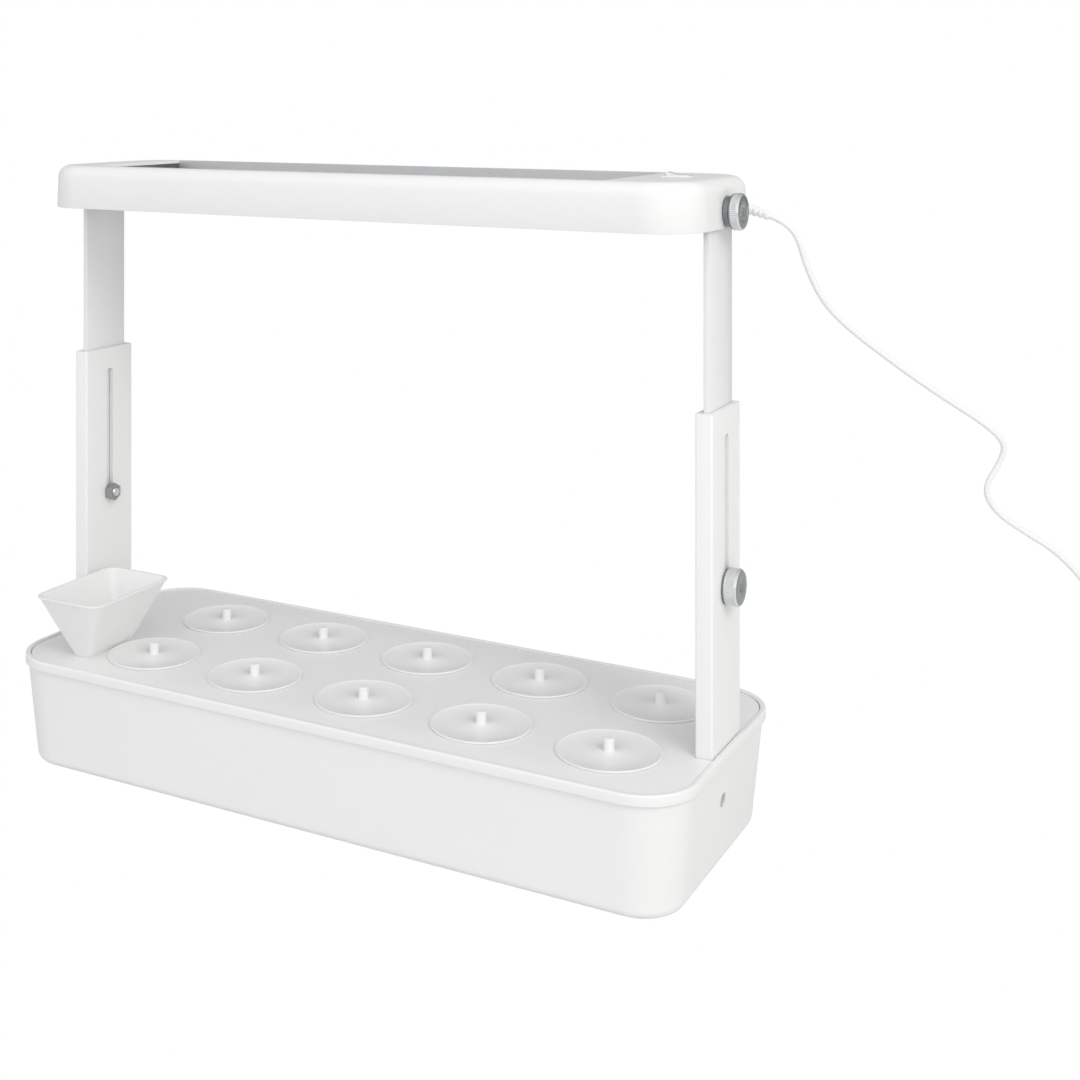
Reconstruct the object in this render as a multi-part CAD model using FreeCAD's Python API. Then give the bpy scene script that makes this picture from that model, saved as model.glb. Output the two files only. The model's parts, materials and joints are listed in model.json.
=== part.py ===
import FreeCAD, Part
import math
import os

# Countertop hydroponic garden: a drafted water tank with a drop-in planting deck, ten pods with
# pegged lids, a filling funnel, two telescoping uprights and a long grow lamp between them.
# Millimetres. +X runs along the tank towards the end with the port and the cord, +Y to the back,
# +Z up. The origin is the centre of the tank's underside, on the surface that it stands on.

V = FreeCAD.Vector

# Tank
tank_length = 579.0
tank_width = 224.0
tank_height = 88.0
rim_corner_radius = 42.5
rim_width = 4.0
rim_edge_round = 1.4
collar_height = 7.5
collar_step = 2.4
wall_draft_deg = 6.0
tank_wall = 2.6
tank_floor = 3.0
base_round = 8.0
inner_base_round = 5.5
shelf_width = 2.4
shelf_height = 3.0
corner_sides = 7
port_radius = 5.0
port_height = 51.0
port_offset = -6.0

# Deck
deck_thickness = 3.0
deck_recess = 0.9
deck_gap = 0.7
deck_edge_round = 0.8
skirt_inset = 2.4
skirt_wall = 2.0
skirt_drop = 6.0
pods_per_row = 5
pod_from_left_end = 106.1
pod_from_right_end = 72.9
pod_from_edge = 61.9
hole_sides = 16

# Pod: cup and lid
cup_radius = 23.6
cup_clearance = 0.7
cup_taper = 6.0
cup_depth = 52.0
cup_wall = 1.4
cup_sides = 8
cup_flange_width = 3.2
cup_flange_thickness = 1.2
cup_seat_clearance = 0.2
window_width = 5.5
window_height = 30.0
window_above_floor = 6.0
cup_windows = 4
lid_radius = 38.0
lid_thickness = 1.5
lid_rim_width = 2.4
lid_dish = 0.5
lid_seat_gap = 0.1
lid_sides = 24
peg_radius = 3.8
peg_sides = 12
peg_height = 8.2

# Funnel
funnel_from_left_end = 58.0
funnel_from_front = 56.0
funnel_height = 50.0
funnel_mouth_x = 67.0
funnel_mouth_y = 98.0
funnel_mouth_radius = 11.0
funnel_base_x = 17.0
funnel_base_y = 56.0
funnel_base_radius = 4.0
funnel_wall = 1.6
funnel_lip_width = 1.2
funnel_lip_height = 1.4
spout_drop = 1.0
spout_inset = 1.5
spout_clearance = 0.5

# Uprights
sleeve_depth = 12.8
sleeve_width = 60.2
sleeve_inset = 11.1
sleeve_length = 240.5
sleeve_edge_round = 1.2
sleeve_solid_foot = 16.0
bar_thickness = 4.3
bar_width = 49.4
bar_side_clearance = 0.45
bar_face_clearance = 0.45
bar_foot_gap = 21.9
tongue_thickness = 5.6
tongue_width = 49.6
tongue_length = 24.0
socket_clearance = 0.25
socket_wall = 2.4
notch_clearance = 0.4

# Clamp hardware, M8
stud_radius = 3.95
small_sides = 16
running_clearance = 0.08
slot_width = 8.5
clamp_above_shelf = 115.4
slot_top_margin = 22.1
knob_radius = 13.1
knob_teeth = 22
knurl_depth = 0.45
knob_length = 10.4
knob_gap = 0.3
knob_chamfer = 1.0
knob_dimple_radius = 3.0
knob_dimple_depth = 1.0
knob_cap_thickness = 2.6
stud_end_gap = 0.4
nut_across_flats = 13.0
nut_thickness = 6.5
nut_gap = 0.1
stud_past_nut = 1.6

# Lamp
lamp_bottom_z = 451.3
lamp_height = 34.8
lamp_end_overhang = 6.8
lamp_width = 153.0
lamp_corner_radius = 39.0
lamp_draft_deg = 2.0
lamp_edge_round = 10.0
hood_wall = 2.5
hood_steps = 5
pivot_above_lamp_bottom = 11.7
pivot_boss_radius = 12.5
pivot_boss_inset = 0.2
bar_above_pivot = 11.0
bar_top_round = 10.5
spacer_radius = 11.0
spacer_sides = 28
spacer_length = 4.2
upper_knob_length = 7.6
light_box_end_gap = 8.0
bulkhead_thickness = 2.0
diffuser_thickness = 2.0
diffuser_recess = 2.0
diffuser_clearance = 0.3
ledge_width = 1.6
ledge_height = 2.0
heat_sink_from_left_end = 41.0
heat_sink_from_right_end = 68.0
heat_sink_width = 127.6
heat_sink_depth = 10.5
heat_sink_wall = 1.8
heat_sink_clearance = 0.25
fin_height = 2.2
fin_thickness = 1.6
fin_count = 9
rail_thickness = 2.0
rail_reach = 7.0
board_thickness = 1.6
board_end_margin = 15.7
board_width = 104.0
led_length = 3.5
led_width = 2.8
led_height = 0.8
led_rows = 3
leds_per_row = 12
led_row_spacing = 34.0
led_end_margin = 17.0
driver_length = 36.0
driver_width = 30.0
driver_height = 15.0
driver_end_gap = 5.0
driver_y = 38.0

# Switch
switch_from_right_end = 36.3
switch_bezel_length = 21.0
switch_bezel_width = 15.0
switch_bezel_height = 1.4
switch_bezel_edge = 0.5
switch_body_length = 19.0
switch_body_width = 12.6
switch_body_depth = 13.0
rocker_length = 16.4
rocker_width = 10.2
rocker_gap = 0.35
rocker_ridge = 1.2
rocker_rise = 3.0
rocker_end_lean = 1.5
rocker_end_depth = 2.5
rocker_keel = 5.0
rocker_tilt_deg = 7.0

# Cord
cord_radius = 2.1
relief_length = 24.0
relief_root_radius = 4.2
relief_tip_radius = 2.9
relief_collar_radius = 5.4
relief_collar_length = 2.2
relief_stem_length = 3.2
relief_taper_start = 1.5
relief_fit = 0.05
relief_sides = 12
relief_groove_depth = 0.8
relief_droop_deg = 17.0
relief_overrun = 1.2
relief_y = 25.0
relief_above_pivot = 3.0

cord_sides = 6
cord_route = (
    (326.7, 30.3, 445.5),
    (330.8, 37.4, 422.9),
    (339.0, 52.0, 396.0),
    (353.0, 71.0, 376.0),
    (371.0, 91.0, 357.0),
    (390.0, 111.0, 338.0),
    (411.0, 132.0, 319.0),
    (430.0, 151.0, 303.0),
    (445.0, 165.0, 286.0),
    (440.0, 166.0, 270.0),
    (429.0, 162.0, 251.0),
    (436.0, 169.0, 233.0),
    (453.0, 183.0, 218.0),
    (476.0, 202.0, 200.0),
    (497.0, 221.0, 170.0),
    (507.0, 237.0, 137.0),
    (505.0, 241.0, 103.0),
    (500.0, 244.5, 70.0),
    (495.0, 247.0, 42.0),
    (492.5, 248.8, 21.0),
    (498.0, 250.0, 7.5),
)
cord_first_run = 10.0
cord_last_run = 12.0

# Coil of spare cord, its tie and the plug at its end
coil_x = 531.0
coil_y = 279.0
coil_radius = 29.0
coil_pitch = 4.9
coil_turns_inward = 2
tie_thickness = 0.8
tie_width = 4.0
tie_clearance = 0.2
tie_inner_clearance = 0.9
tie_corner = 0.6
coil_lift = 0.1
tail_reach = 24.0
tail_shift = 8.0
plug_radius = 4.9
plug_edge = 0.6
plug_sides = 24
bore_sides = 8
plug_length = 24.0
plug_neck_length = 9.0
plug_neck_radius = 3.0
plug_tip_radius = 2.75
plug_tip_bore = 1.05
plug_tip_length = 9.5
plug_tip_seat = 1.0

# Levels and places worked out from the sizes above
deck_top = tank_height - deck_recess
shelf_top = deck_top - deck_thickness
wall_top = tank_height - collar_height
draft = math.tan(math.radians(wall_draft_deg))
pod_pitch = (tank_length - pod_from_left_end - pod_from_right_end) / (pods_per_row - 1)
pod_shift = (pod_from_left_end - pod_from_right_end) / 2
pod_row_spacing = tank_width - 2 * pod_from_edge
funnel_x = funnel_from_left_end - tank_length / 2
funnel_y = funnel_from_front - tank_width / 2
sleeve_centre_x = tank_length / 2 - sleeve_inset
sleeve_inner_x = sleeve_centre_x - sleeve_depth / 2
sleeve_outer_x = sleeve_centre_x + sleeve_depth / 2
sleeve_top = shelf_top + sleeve_length
clamp_height = shelf_top + clamp_above_shelf
height_travel = sleeve_top - slot_top_margin - clamp_height
bar_bottom_z = shelf_top + sleeve_solid_foot + bar_foot_gap
bar_inner_x = sleeve_centre_x - bar_thickness / 2
bar_outer_x = sleeve_centre_x + bar_thickness / 2
cup_top = deck_top - cup_flange_thickness - cup_seat_clearance
hole_radius = cup_radius + cup_clearance
counterbore_radius = cup_radius + cup_flange_width + cup_clearance
counterbore_depth = cup_flange_thickness + cup_seat_clearance
pivot_height = lamp_bottom_z + pivot_above_lamp_bottom
relief_z = pivot_height + relief_above_pivot
lamp_length = 2 * (sleeve_centre_x + lamp_end_overhang)
lamp_top_z = lamp_bottom_z + lamp_height
pivot_boss_x = lamp_length / 2 - pivot_boss_inset
light_box_half = sleeve_inner_x - light_box_end_gap
driver_x = light_box_half - driver_end_gap - driver_length / 2
switch_x = lamp_length / 2 - switch_from_right_end
diffuser_bottom = lamp_bottom_z + diffuser_recess
diffuser_top = diffuser_bottom + diffuser_thickness
heat_sink_left = heat_sink_from_left_end - lamp_length / 2
heat_sink_right = lamp_length / 2 - heat_sink_from_right_end
heat_sink_floor = lamp_top_z - heat_sink_depth
board_top = heat_sink_floor - heat_sink_wall
board_length = heat_sink_right - heat_sink_left - 2 * board_end_margin
led_pitch = (board_length - 2 * led_end_margin) / (leds_per_row - 1)
cord_apothem = cord_radius * math.cos(math.pi / cord_sides)
coil_axis_z = tie_thickness + coil_lift + cord_apothem
pod_rows = (("front", -pod_row_spacing / 2), ("back", pod_row_spacing / 2))


def box(x0, x1, y0, y1, z0, z1):
    return Part.makeBox(x1 - x0, y1 - y0, z1 - z0, V(x0, y0, z0))


def pin_x(radius, x0, x1, y, z):
    return Part.makeCylinder(radius, x1 - x0, V(x0, y, z), V(1, 0, 0))


def unit(v):
    return V(v).normalize()


def between_rings(rings):
    # flat faces between polygons that lie side by side, closed at both ends
    faces = []
    for low, high in zip(rings, rings[1:]):
        for k in range(len(low)):
            j = (k + 1) % len(low)
            faces.append(Part.Face(Part.makePolygon([low[k], low[j], high[j], high[k], low[k]])))
    faces.append(Part.Face(Part.makePolygon(rings[0] + rings[0][:1])))
    faces.append(Part.Face(Part.makePolygon(rings[-1] + rings[-1][:1])))
    solid = Part.Solid(Part.Shell(faces))
    if solid.Volume < 0:
        solid.reverse()
    return solid


def turned(profile, origin, aim, sides):
    # a many-sided turned piece: profile is (distance along aim, radius) pairs
    across = unit(aim.cross(V(0, 1, 0) if abs(aim.y) < 0.9 else V(0, 0, 1)))
    up = unit(across.cross(aim))
    rings = []
    for along, radius in profile:
        ring = []
        for k in range(sides):
            a = 2 * math.pi * (k + 0.5) / sides
            ring.append(origin + aim * along + across * (radius * math.cos(a)) + up * (radius * math.sin(a)))
        rings.append(ring)
    return between_rings(rings).removeSplitter()


def rounded_ring(half_x, half_y, radius, z, centre, per_corner=4):
    # the outline of a rectangle with round corners as a polygon
    points = []
    for quarter in range(4):
        sx = 1 if quarter in (0, 3) else -1
        sy = 1 if quarter in (0, 1) else -1
        mx, my = centre[0] + sx * (half_x - radius), centre[1] + sy * (half_y - radius)
        for k in range(per_corner + 1):
            a = (quarter + k / per_corner) * math.pi / 2
            points.append(V(mx + radius * math.cos(a), my + radius * math.sin(a), z))
    return points


def facet_post(radius, x, y, z0, z1, sides):
    return turned([(0.0, radius), (z1 - z0, radius)], V(x, y, z0), V(0, 0, 1), sides)


def facet_pin(radius, x0, x1, z, sides):
    return turned([(0.0, radius), (x1 - x0, radius)], V(x0, 0, z), V(1, 0, 0), sides)


def edge_steps(z0, z1, inset0, inset1, count):
    # a quarter round from one level and inset to another, bulging outward
    steps = []
    for k in range(count + 1):
        a = math.pi / 2 * k / count
        steps.append((z0 + (z1 - z0) * math.sin(a), inset0 + (inset1 - inset0) * (1 - math.cos(a))))
    return steps


def foot_steps(radius, floor, lean, count):
    # the round between a floor and a wall that leans by lean(z), from the floor up
    centre = lean(floor + radius) + radius / math.cos(math.atan(draft))
    steps = []
    for k in range(count + 1):
        a = (math.pi / 2 - math.atan(draft)) * k / count
        steps.append((floor + radius * (1 - math.cos(a)), centre - radius * math.sin(a)))
    return steps


def moulded(half_x, half_y, radius, steps):
    # flat-faced block with round corners, from (level, inset) steps
    rings = []
    for z, inset in steps:
        size = (half_x - inset, half_y - inset, radius - inset)
        rings.append(rounded_ring(*size, z, (0.0, 0.0), corner_sides))
    return between_rings(rings)


def polygon_prism(points, direction):
    return Part.Face(Part.makePolygon(points + points[:1])).extrude(direction)


def mirrored(shape):
    return shape.mirror(V(0, 0, 0), V(1, 0, 0))


def wall_lean(z):
    # how far the outer wall stands in from the tank's greatest outline at height z
    return collar_step + (wall_top - z) * draft


def inner_lean(z):
    return wall_lean(z) + tank_wall


def make_tank():
    half_x, half_y = tank_length / 2, tank_width / 2
    steps = foot_steps(base_round, 0.0, wall_lean, 5)
    steps += [(wall_top, collar_step), (wall_top, 0.0)]
    steps += edge_steps(tank_height - rim_edge_round, tank_height, 0.0, rim_edge_round, 2)
    tank = moulded(half_x, half_y, rim_corner_radius, steps)
    shelf = rim_width + shelf_width
    ledge = shelf_top - shelf_height
    steps = foot_steps(inner_base_round, tank_floor, inner_lean, 3)
    steps += [(ledge, inner_lean(ledge)), (ledge, shelf), (shelf_top, shelf)]
    hollow = moulded(half_x, half_y, rim_corner_radius, steps)
    boss_height = shelf_top - tongue_length - socket_wall
    boss = box(
        sleeve_inner_x - socket_wall,
        half_x,
        -sleeve_width / 2 - socket_wall,
        sleeve_width / 2 + socket_wall,
        boss_height,
        shelf_top,
    )
    hollow = hollow.cut(boss).cut(mirrored(boss))
    recess = moulded(half_x, half_y, rim_corner_radius, [(shelf_top, rim_width), (tank_height, rim_width)])
    tank = tank.cut(hollow).cut(recess)
    socket = box(
        sleeve_centre_x - tongue_thickness / 2 - socket_clearance,
        sleeve_centre_x + tongue_thickness / 2 + socket_clearance,
        -tongue_width / 2 - socket_clearance,
        tongue_width / 2 + socket_clearance,
        boss_height + socket_wall - socket_clearance,
        shelf_top,
    )
    tank = tank.cut(socket).cut(mirrored(socket))
    tank = tank.cut(pin_x(port_radius, sleeve_inner_x, half_x, port_offset, port_height))
    return tank.removeSplitter()


def pod_places():
    places = []
    for row, y in pod_rows:
        for k in range(pods_per_row):
            x = pod_shift + (k - (pods_per_row - 1) / 2) * pod_pitch
            places.append((f"{row}_{k + 1}", x, y))
    return places


def make_deck():
    half_x, half_y = tank_length / 2, tank_width / 2
    rim = rim_width + deck_gap
    steps = [(shelf_top, rim)]
    steps += edge_steps(deck_top - deck_edge_round, deck_top, rim, rim + deck_edge_round, 2)
    plate = moulded(half_x, half_y, rim_corner_radius, steps)
    low = shelf_top - skirt_drop
    outer_inset = rim + skirt_inset
    inner_inset = outer_inset + skirt_wall
    outer = moulded(half_x, half_y, rim_corner_radius, [(low, outer_inset), (shelf_top, outer_inset)])
    inner = moulded(half_x, half_y, rim_corner_radius, [(low, inner_inset), (shelf_top, inner_inset)])
    skirt = outer.cut(inner)
    gate_half = sleeve_width / 2 + socket_wall + notch_clearance
    gate_x = sleeve_inner_x - socket_wall - notch_clearance
    gate = box(gate_x, tank_length / 2, -gate_half, gate_half, shelf_top - skirt_drop, shelf_top)
    skirt = skirt.cut(gate).cut(mirrored(gate))
    deck = plate.fuse(skirt)
    notch = box(
        sleeve_inner_x - notch_clearance,
        tank_length / 2,
        -sleeve_width / 2 - notch_clearance,
        sleeve_width / 2 + notch_clearance,
        shelf_top,
        deck_top,
    )
    deck = deck.cut(notch).cut(mirrored(notch))
    for _, x, y in pod_places():
        deck = deck.cut(facet_post(hole_radius, x, y, shelf_top, deck_top, hole_sides))
        seat = deck_top - counterbore_depth
        deck = deck.cut(facet_post(counterbore_radius, x, y, seat, deck_top, hole_sides))
    spout_size = [size - spout_inset + spout_clearance for size in funnel_base_size()]
    ring = rounded_ring(*spout_size, shelf_top, (funnel_x, funnel_y))
    return deck.cut(polygon_prism(ring, V(0, 0, deck_thickness))).removeSplitter()


def funnel_base_size():
    return (funnel_base_x / 2, funnel_base_y / 2, funnel_base_radius)


def ring_points(radius, x, y, z, sides):
    turn = math.pi / sides
    points = []
    for k in range(sides):
        a = turn + 2 * math.pi * k / sides
        points.append(V(x + radius * math.cos(a), y + radius * math.sin(a), z))
    return points


def make_cup(x, y):
    # flat sides that taper to the floor, under a flange that hangs in the deck's counterbore
    floor = cup_top - cup_depth
    low_radius = cup_radius - cup_taper
    outside = between_rings(
        [ring_points(low_radius, x, y, floor, cup_sides), ring_points(cup_radius, x, y, cup_top, cup_sides)]
    )
    flange_top = cup_top + cup_flange_thickness
    flange = polygon_prism(
        ring_points(cup_radius + cup_flange_width, x, y, cup_top, cup_sides),
        V(0, 0, cup_flange_thickness),
    )
    inside = between_rings(
        [
            ring_points(low_radius - cup_wall, x, y, floor + cup_wall, cup_sides),
            ring_points(cup_radius - cup_wall, x, y, flange_top, cup_sides),
        ]
    )
    cup = outside.fuse(flange).cut(inside)
    reach = cup_radius + 1.0
    cutter = box(0, reach, -window_width / 2, window_width / 2, 0, window_height)
    for k in range(cup_windows):
        window = cutter.copy()
        window.rotate(V(0, 0, 0), V(0, 0, 1), 360.0 * k / cup_windows)
        window.translate(V(x, y, floor + window_above_floor))
        cup = cup.cut(window)
    return cup.removeSplitter()


def make_lid(x, y):
    base = deck_top + lid_seat_gap
    top = base + lid_thickness
    profile = [
        (0.0, lid_radius),
        (lid_thickness, lid_radius),
        (lid_thickness - lid_dish, lid_radius - lid_rim_width),
    ]
    plate = turned(profile, V(0, 0, base), V(0, 0, 1), lid_sides)
    lid = plate.fuse(facet_post(peg_radius, 0, 0, top - lid_dish, top + peg_height, peg_sides))
    lid.translate(V(x, y, 0))
    return lid.removeSplitter()


def make_funnel():
    centre = (funnel_x, funnel_y)
    base_z = deck_top + lid_seat_gap
    top_z = base_z + funnel_height
    base = funnel_base_size()
    mouth = (funnel_mouth_x / 2 - funnel_lip_width, funnel_mouth_y / 2 - funnel_lip_width)
    mouth = mouth + (funnel_mouth_radius - funnel_lip_width,)
    spout = [size - spout_inset for size in base]
    throat = [size - funnel_wall for size in spout]
    spout_end = base_z - deck_thickness - spout_drop
    inside = [size - funnel_wall for size in mouth]
    cone = between_rings([rounded_ring(*base, base_z, centre), rounded_ring(*mouth, top_z, centre)])
    lip_size = (funnel_mouth_x / 2, funnel_mouth_y / 2, funnel_mouth_radius)
    lip_ring = rounded_ring(*lip_size, top_z - funnel_lip_height, centre)
    lip = polygon_prism(lip_ring, V(0, 0, funnel_lip_height))
    pipe = polygon_prism(rounded_ring(*spout, spout_end, centre), V(0, 0, base_z - spout_end))
    way = polygon_prism(rounded_ring(*throat, spout_end, centre), V(0, 0, base_z - spout_end))
    hollow = between_rings([rounded_ring(*throat, base_z, centre), rounded_ring(*inside, top_z, centre)])
    return cone.fuse(lip).fuse(pipe).cut(way).cut(hollow).removeSplitter()


def make_sleeve():
    # a flat tube, slotted on both faces, with a tongue that plugs into the tank's socket
    half = sleeve_width / 2
    sleeve = box(sleeve_inner_x, sleeve_outer_x, -half, half, shelf_top, sleeve_top)
    upright = [e for e in sleeve.Edges if e.BoundBox.ZLength > sleeve_length / 2]
    sleeve = sleeve.makeChamfer(sleeve_edge_round, upright)
    cavity = box(
        bar_inner_x - bar_face_clearance,
        bar_outer_x + bar_face_clearance,
        -bar_width / 2 - bar_side_clearance,
        bar_width / 2 + bar_side_clearance,
        shelf_top + sleeve_solid_foot,
        sleeve_top,
    )
    slot_low = clamp_height
    slot_high = clamp_height + height_travel
    r = slot_width / 2
    slot = box(sleeve_inner_x, sleeve_outer_x, -r, r, slot_low, slot_high)
    for z in (slot_low, slot_high):
        slot = slot.fuse(facet_pin(r, sleeve_inner_x, sleeve_outer_x, z, small_sides))
    tongue = box(
        sleeve_centre_x - tongue_thickness / 2,
        sleeve_centre_x + tongue_thickness / 2,
        -tongue_width / 2,
        tongue_width / 2,
        shelf_top - tongue_length,
        shelf_top,
    )
    return sleeve.fuse(tongue).cut(cavity).cut(slot).removeSplitter()


def make_bar():
    top = pivot_height + bar_above_pivot
    half = bar_width / 2
    points = [V(bar_inner_x, -half, bar_bottom_z), V(bar_inner_x, half, bar_bottom_z)]
    for side in (1, -1):
        for k in range(5):
            a = math.pi / 2 * (k if side > 0 else 4 - k) / 4
            y = side * (half - bar_top_round + bar_top_round * math.cos(a))
            points.append(V(bar_inner_x, y, top - bar_top_round + bar_top_round * math.sin(a)))
    bar = polygon_prism(points, V(bar_thickness, 0, 0))
    for z in (clamp_height, pivot_height):
        bar = bar.cut(facet_pin(stud_hole_radius(), bar_inner_x, bar_outer_x, z, small_sides))
    return bar


def knurled(radius, x0, x1, z):
    # straight V knurls round a barrel along X
    points = []
    for k in range(2 * knob_teeth):
        a = math.pi * k / knob_teeth
        r = radius if k % 2 == 0 else radius - knurl_depth
        points.append(V(x0, r * math.cos(a), z + r * math.sin(a)))
    return polygon_prism(points, V(x1 - x0, 0, 0))


def make_stud(x0, x1, z):
    return facet_pin(stud_radius, x0, x1, z, small_sides)


def make_knob(x0, length, z):
    # a knurled nut with a blind bore for the stud
    x1 = x0 + length
    barrel = knurled(knob_radius, x0, x1 - knob_chamfer, z)
    cap_radius = knob_radius - knurl_depth
    cap_profile = [(0.0, cap_radius), (knob_chamfer, cap_radius - knob_chamfer)]
    cap = turned(cap_profile, V(x1 - knob_chamfer, 0, z), V(1, 0, 0), knob_teeth)
    dimple = facet_pin(knob_dimple_radius, x1 - knob_dimple_depth, x1, z, small_sides)
    bore = facet_pin(stud_hole_radius(), x0, x1 - knob_cap_thickness, z, small_sides)
    return barrel.fuse(cap).cut(dimple).cut(bore).removeSplitter()


def make_nut(face_x, z):
    # on the inner side, so it reaches from face_x towards the middle
    r = nut_across_flats / math.sqrt(3)
    points = []
    for k in range(6):
        a = math.pi * k / 3 + math.pi / 2
        points.append(V(face_x - nut_thickness, r * math.cos(a), z + r * math.sin(a)))
    nut = polygon_prism(points, V(nut_thickness, 0, 0))
    bore = facet_pin(stud_hole_radius(), face_x - nut_thickness, face_x, z, small_sides)
    return nut.cut(bore)


def stud_hole_radius():
    # the corners of a many-sided hole, whose flats clear the stud by the running clearance
    return (stud_radius + running_clearance) / math.cos(math.pi / small_sides)


def make_spacer():
    x0, x1 = pivot_boss_x, pivot_boss_x + spacer_length
    body = facet_pin(spacer_radius, x0, x1, pivot_height, spacer_sides)
    return body.cut(facet_pin(stud_hole_radius(), x0, x1, pivot_height, small_sides))


def hood_lean(z):
    return (z - lamp_bottom_z) * math.tan(math.radians(lamp_draft_deg))


def hood_block(bottom, top, inset, rounding=0.0):
    # the housing's outline moved in by inset, with its top edge rounded if rounding is given
    low = top - rounding
    steps = [(bottom, hood_lean(bottom) + inset)]
    if rounding:
        steps += edge_steps(low, top, hood_lean(low) + inset, hood_lean(low) + inset + rounding, hood_steps)
    else:
        steps.append((top, hood_lean(top) + inset))
    return moulded(lamp_length / 2, lamp_width / 2, lamp_corner_radius, steps)


def heat_sink_room(clearance, depth):
    half = heat_sink_width / 2 + clearance
    return box(
        heat_sink_left - clearance,
        heat_sink_right + clearance,
        -half,
        half,
        lamp_top_z - depth,
        lamp_top_z,
    )


def hood_room(x0, x1, bottom, top, inset, rounding=0.0):
    # the inner space between two planes across the lamp
    room = hood_block(bottom, top, inset, rounding)
    return room.common(box(x0, x1, -lamp_width / 2, lamp_width / 2, bottom, top))


def rail_frame():
    # walls and a ledge round the heat sink's recess
    left, right = heat_sink_left - heat_sink_clearance, heat_sink_right + heat_sink_clearance
    outer = heat_sink_width / 2 + heat_sink_clearance
    low = board_top - rail_thickness
    frame = box(
        left - rail_thickness,
        right + rail_thickness,
        -outer - rail_thickness,
        outer + rail_thickness,
        low,
        lamp_top_z,
    )
    gap = box(left + rail_reach, right - rail_reach, rail_reach - outer, outer - rail_reach, low, lamp_top_z)
    return frame.cut(gap)


def make_housing():
    outside = hood_block(lamp_bottom_z, lamp_top_z, 0.0, lamp_edge_round)
    ceiling = lamp_top_z - hood_wall
    inner_round = lamp_edge_round - hood_wall
    shelf = diffuser_top + ledge_height
    far = lamp_length / 2
    end = light_box_half + bulkhead_thickness
    rooms = [
        hood_room(-light_box_half, light_box_half, lamp_bottom_z, diffuser_top, hood_wall),
        hood_room(-light_box_half, light_box_half, diffuser_top, shelf, hood_wall + ledge_width),
        hood_room(-light_box_half, light_box_half, shelf, ceiling, hood_wall, inner_round).cut(rail_frame()),
        hood_room(-far, -end, lamp_bottom_z, ceiling, hood_wall, inner_round),
        hood_room(end, far, lamp_bottom_z, ceiling, hood_wall, inner_round),
    ]
    housing = outside
    for room in rooms:
        housing = housing.cut(room)
    housing = housing.cut(heat_sink_room(heat_sink_clearance, heat_sink_depth + heat_sink_wall))
    boss_x = bar_outer_x + bar_face_clearance / 2
    boss = facet_pin(pivot_boss_radius, boss_x, pivot_boss_x, pivot_height, spacer_sides)
    hole = facet_pin(stud_hole_radius(), bar_outer_x, pivot_boss_x, pivot_height, small_sides)
    boss = boss.cut(hole)
    pad = facet_pin(pivot_boss_radius, pivot_boss_x, far + spacer_length, pivot_height, spacer_sides)
    housing = housing.cut(hole).cut(mirrored(hole)).cut(pad).cut(mirrored(pad))
    housing = housing.fuse(boss).fuse(mirrored(boss))
    housing = housing.cut(switch_body(rocker_gap))
    return housing.cut(relief_socket()).removeSplitter()


def make_heat_sink():
    # an extruded channel with low fins on its floor, open at both ends
    half = heat_sink_width / 2
    z0, z1 = board_top, lamp_top_z
    x0, x1 = heat_sink_left, heat_sink_right
    points = [
        V(x0, -half, z0),
        V(x0, half, z0),
        V(x0, half, z1),
        V(x0, half - heat_sink_wall, z1),
    ]
    floor = heat_sink_floor
    points.append(V(x0, half - heat_sink_wall, floor))
    gap = (heat_sink_width - 2 * heat_sink_wall) / (fin_count + 1)
    for k in range(fin_count):
        y = half - heat_sink_wall - (k + 1) * gap
        points.append(V(x0, y + fin_thickness / 2, floor))
        points.append(V(x0, y + fin_thickness / 2, floor + fin_height))
        points.append(V(x0, y - fin_thickness / 2, floor + fin_height))
        points.append(V(x0, y - fin_thickness / 2, floor))
    points.append(V(x0, heat_sink_wall - half, floor))
    points.append(V(x0, heat_sink_wall - half, z1))
    points.append(V(x0, -half, z1))
    return polygon_prism(points, V(x1 - x0, 0, 0))


def make_diffuser():
    panel = hood_block(diffuser_bottom, diffuser_top, hood_wall + diffuser_clearance)
    end = light_box_half - diffuser_clearance
    return panel.common(box(-end, end, -lamp_width / 2, lamp_width / 2, diffuser_bottom, diffuser_top))


def board_centre():
    return (heat_sink_left + heat_sink_right) / 2


def make_board():
    cx = board_centre()
    return box(
        cx - board_length / 2,
        cx + board_length / 2,
        -board_width / 2,
        board_width / 2,
        board_top - board_thickness,
        board_top,
    )


def make_leds():
    z1 = board_top - board_thickness
    leds = []
    for row in range(led_rows):
        y = (row - (led_rows - 1) / 2) * led_row_spacing
        for k in range(leds_per_row):
            x = board_centre() + (k - (leds_per_row - 1) / 2) * led_pitch
            corner = V(x - led_length / 2, y - led_width / 2, z1 - led_height)
            leds.append(Part.makeBox(led_length, led_width, led_height, corner))
    return Part.makeCompound(leds)


def make_driver():
    z1 = lamp_top_z - hood_wall
    return box(
        driver_x - driver_length / 2,
        driver_x + driver_length / 2,
        driver_y - driver_width / 2,
        driver_y + driver_width / 2,
        z1 - driver_height,
        z1,
    )


def switch_body(clearance):
    return box(
        switch_x - switch_body_length / 2 - clearance,
        switch_x + switch_body_length / 2 + clearance,
        -switch_body_width / 2 - clearance,
        switch_body_width / 2 + clearance,
        lamp_top_z - switch_body_depth,
        lamp_top_z,
    )


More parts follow.
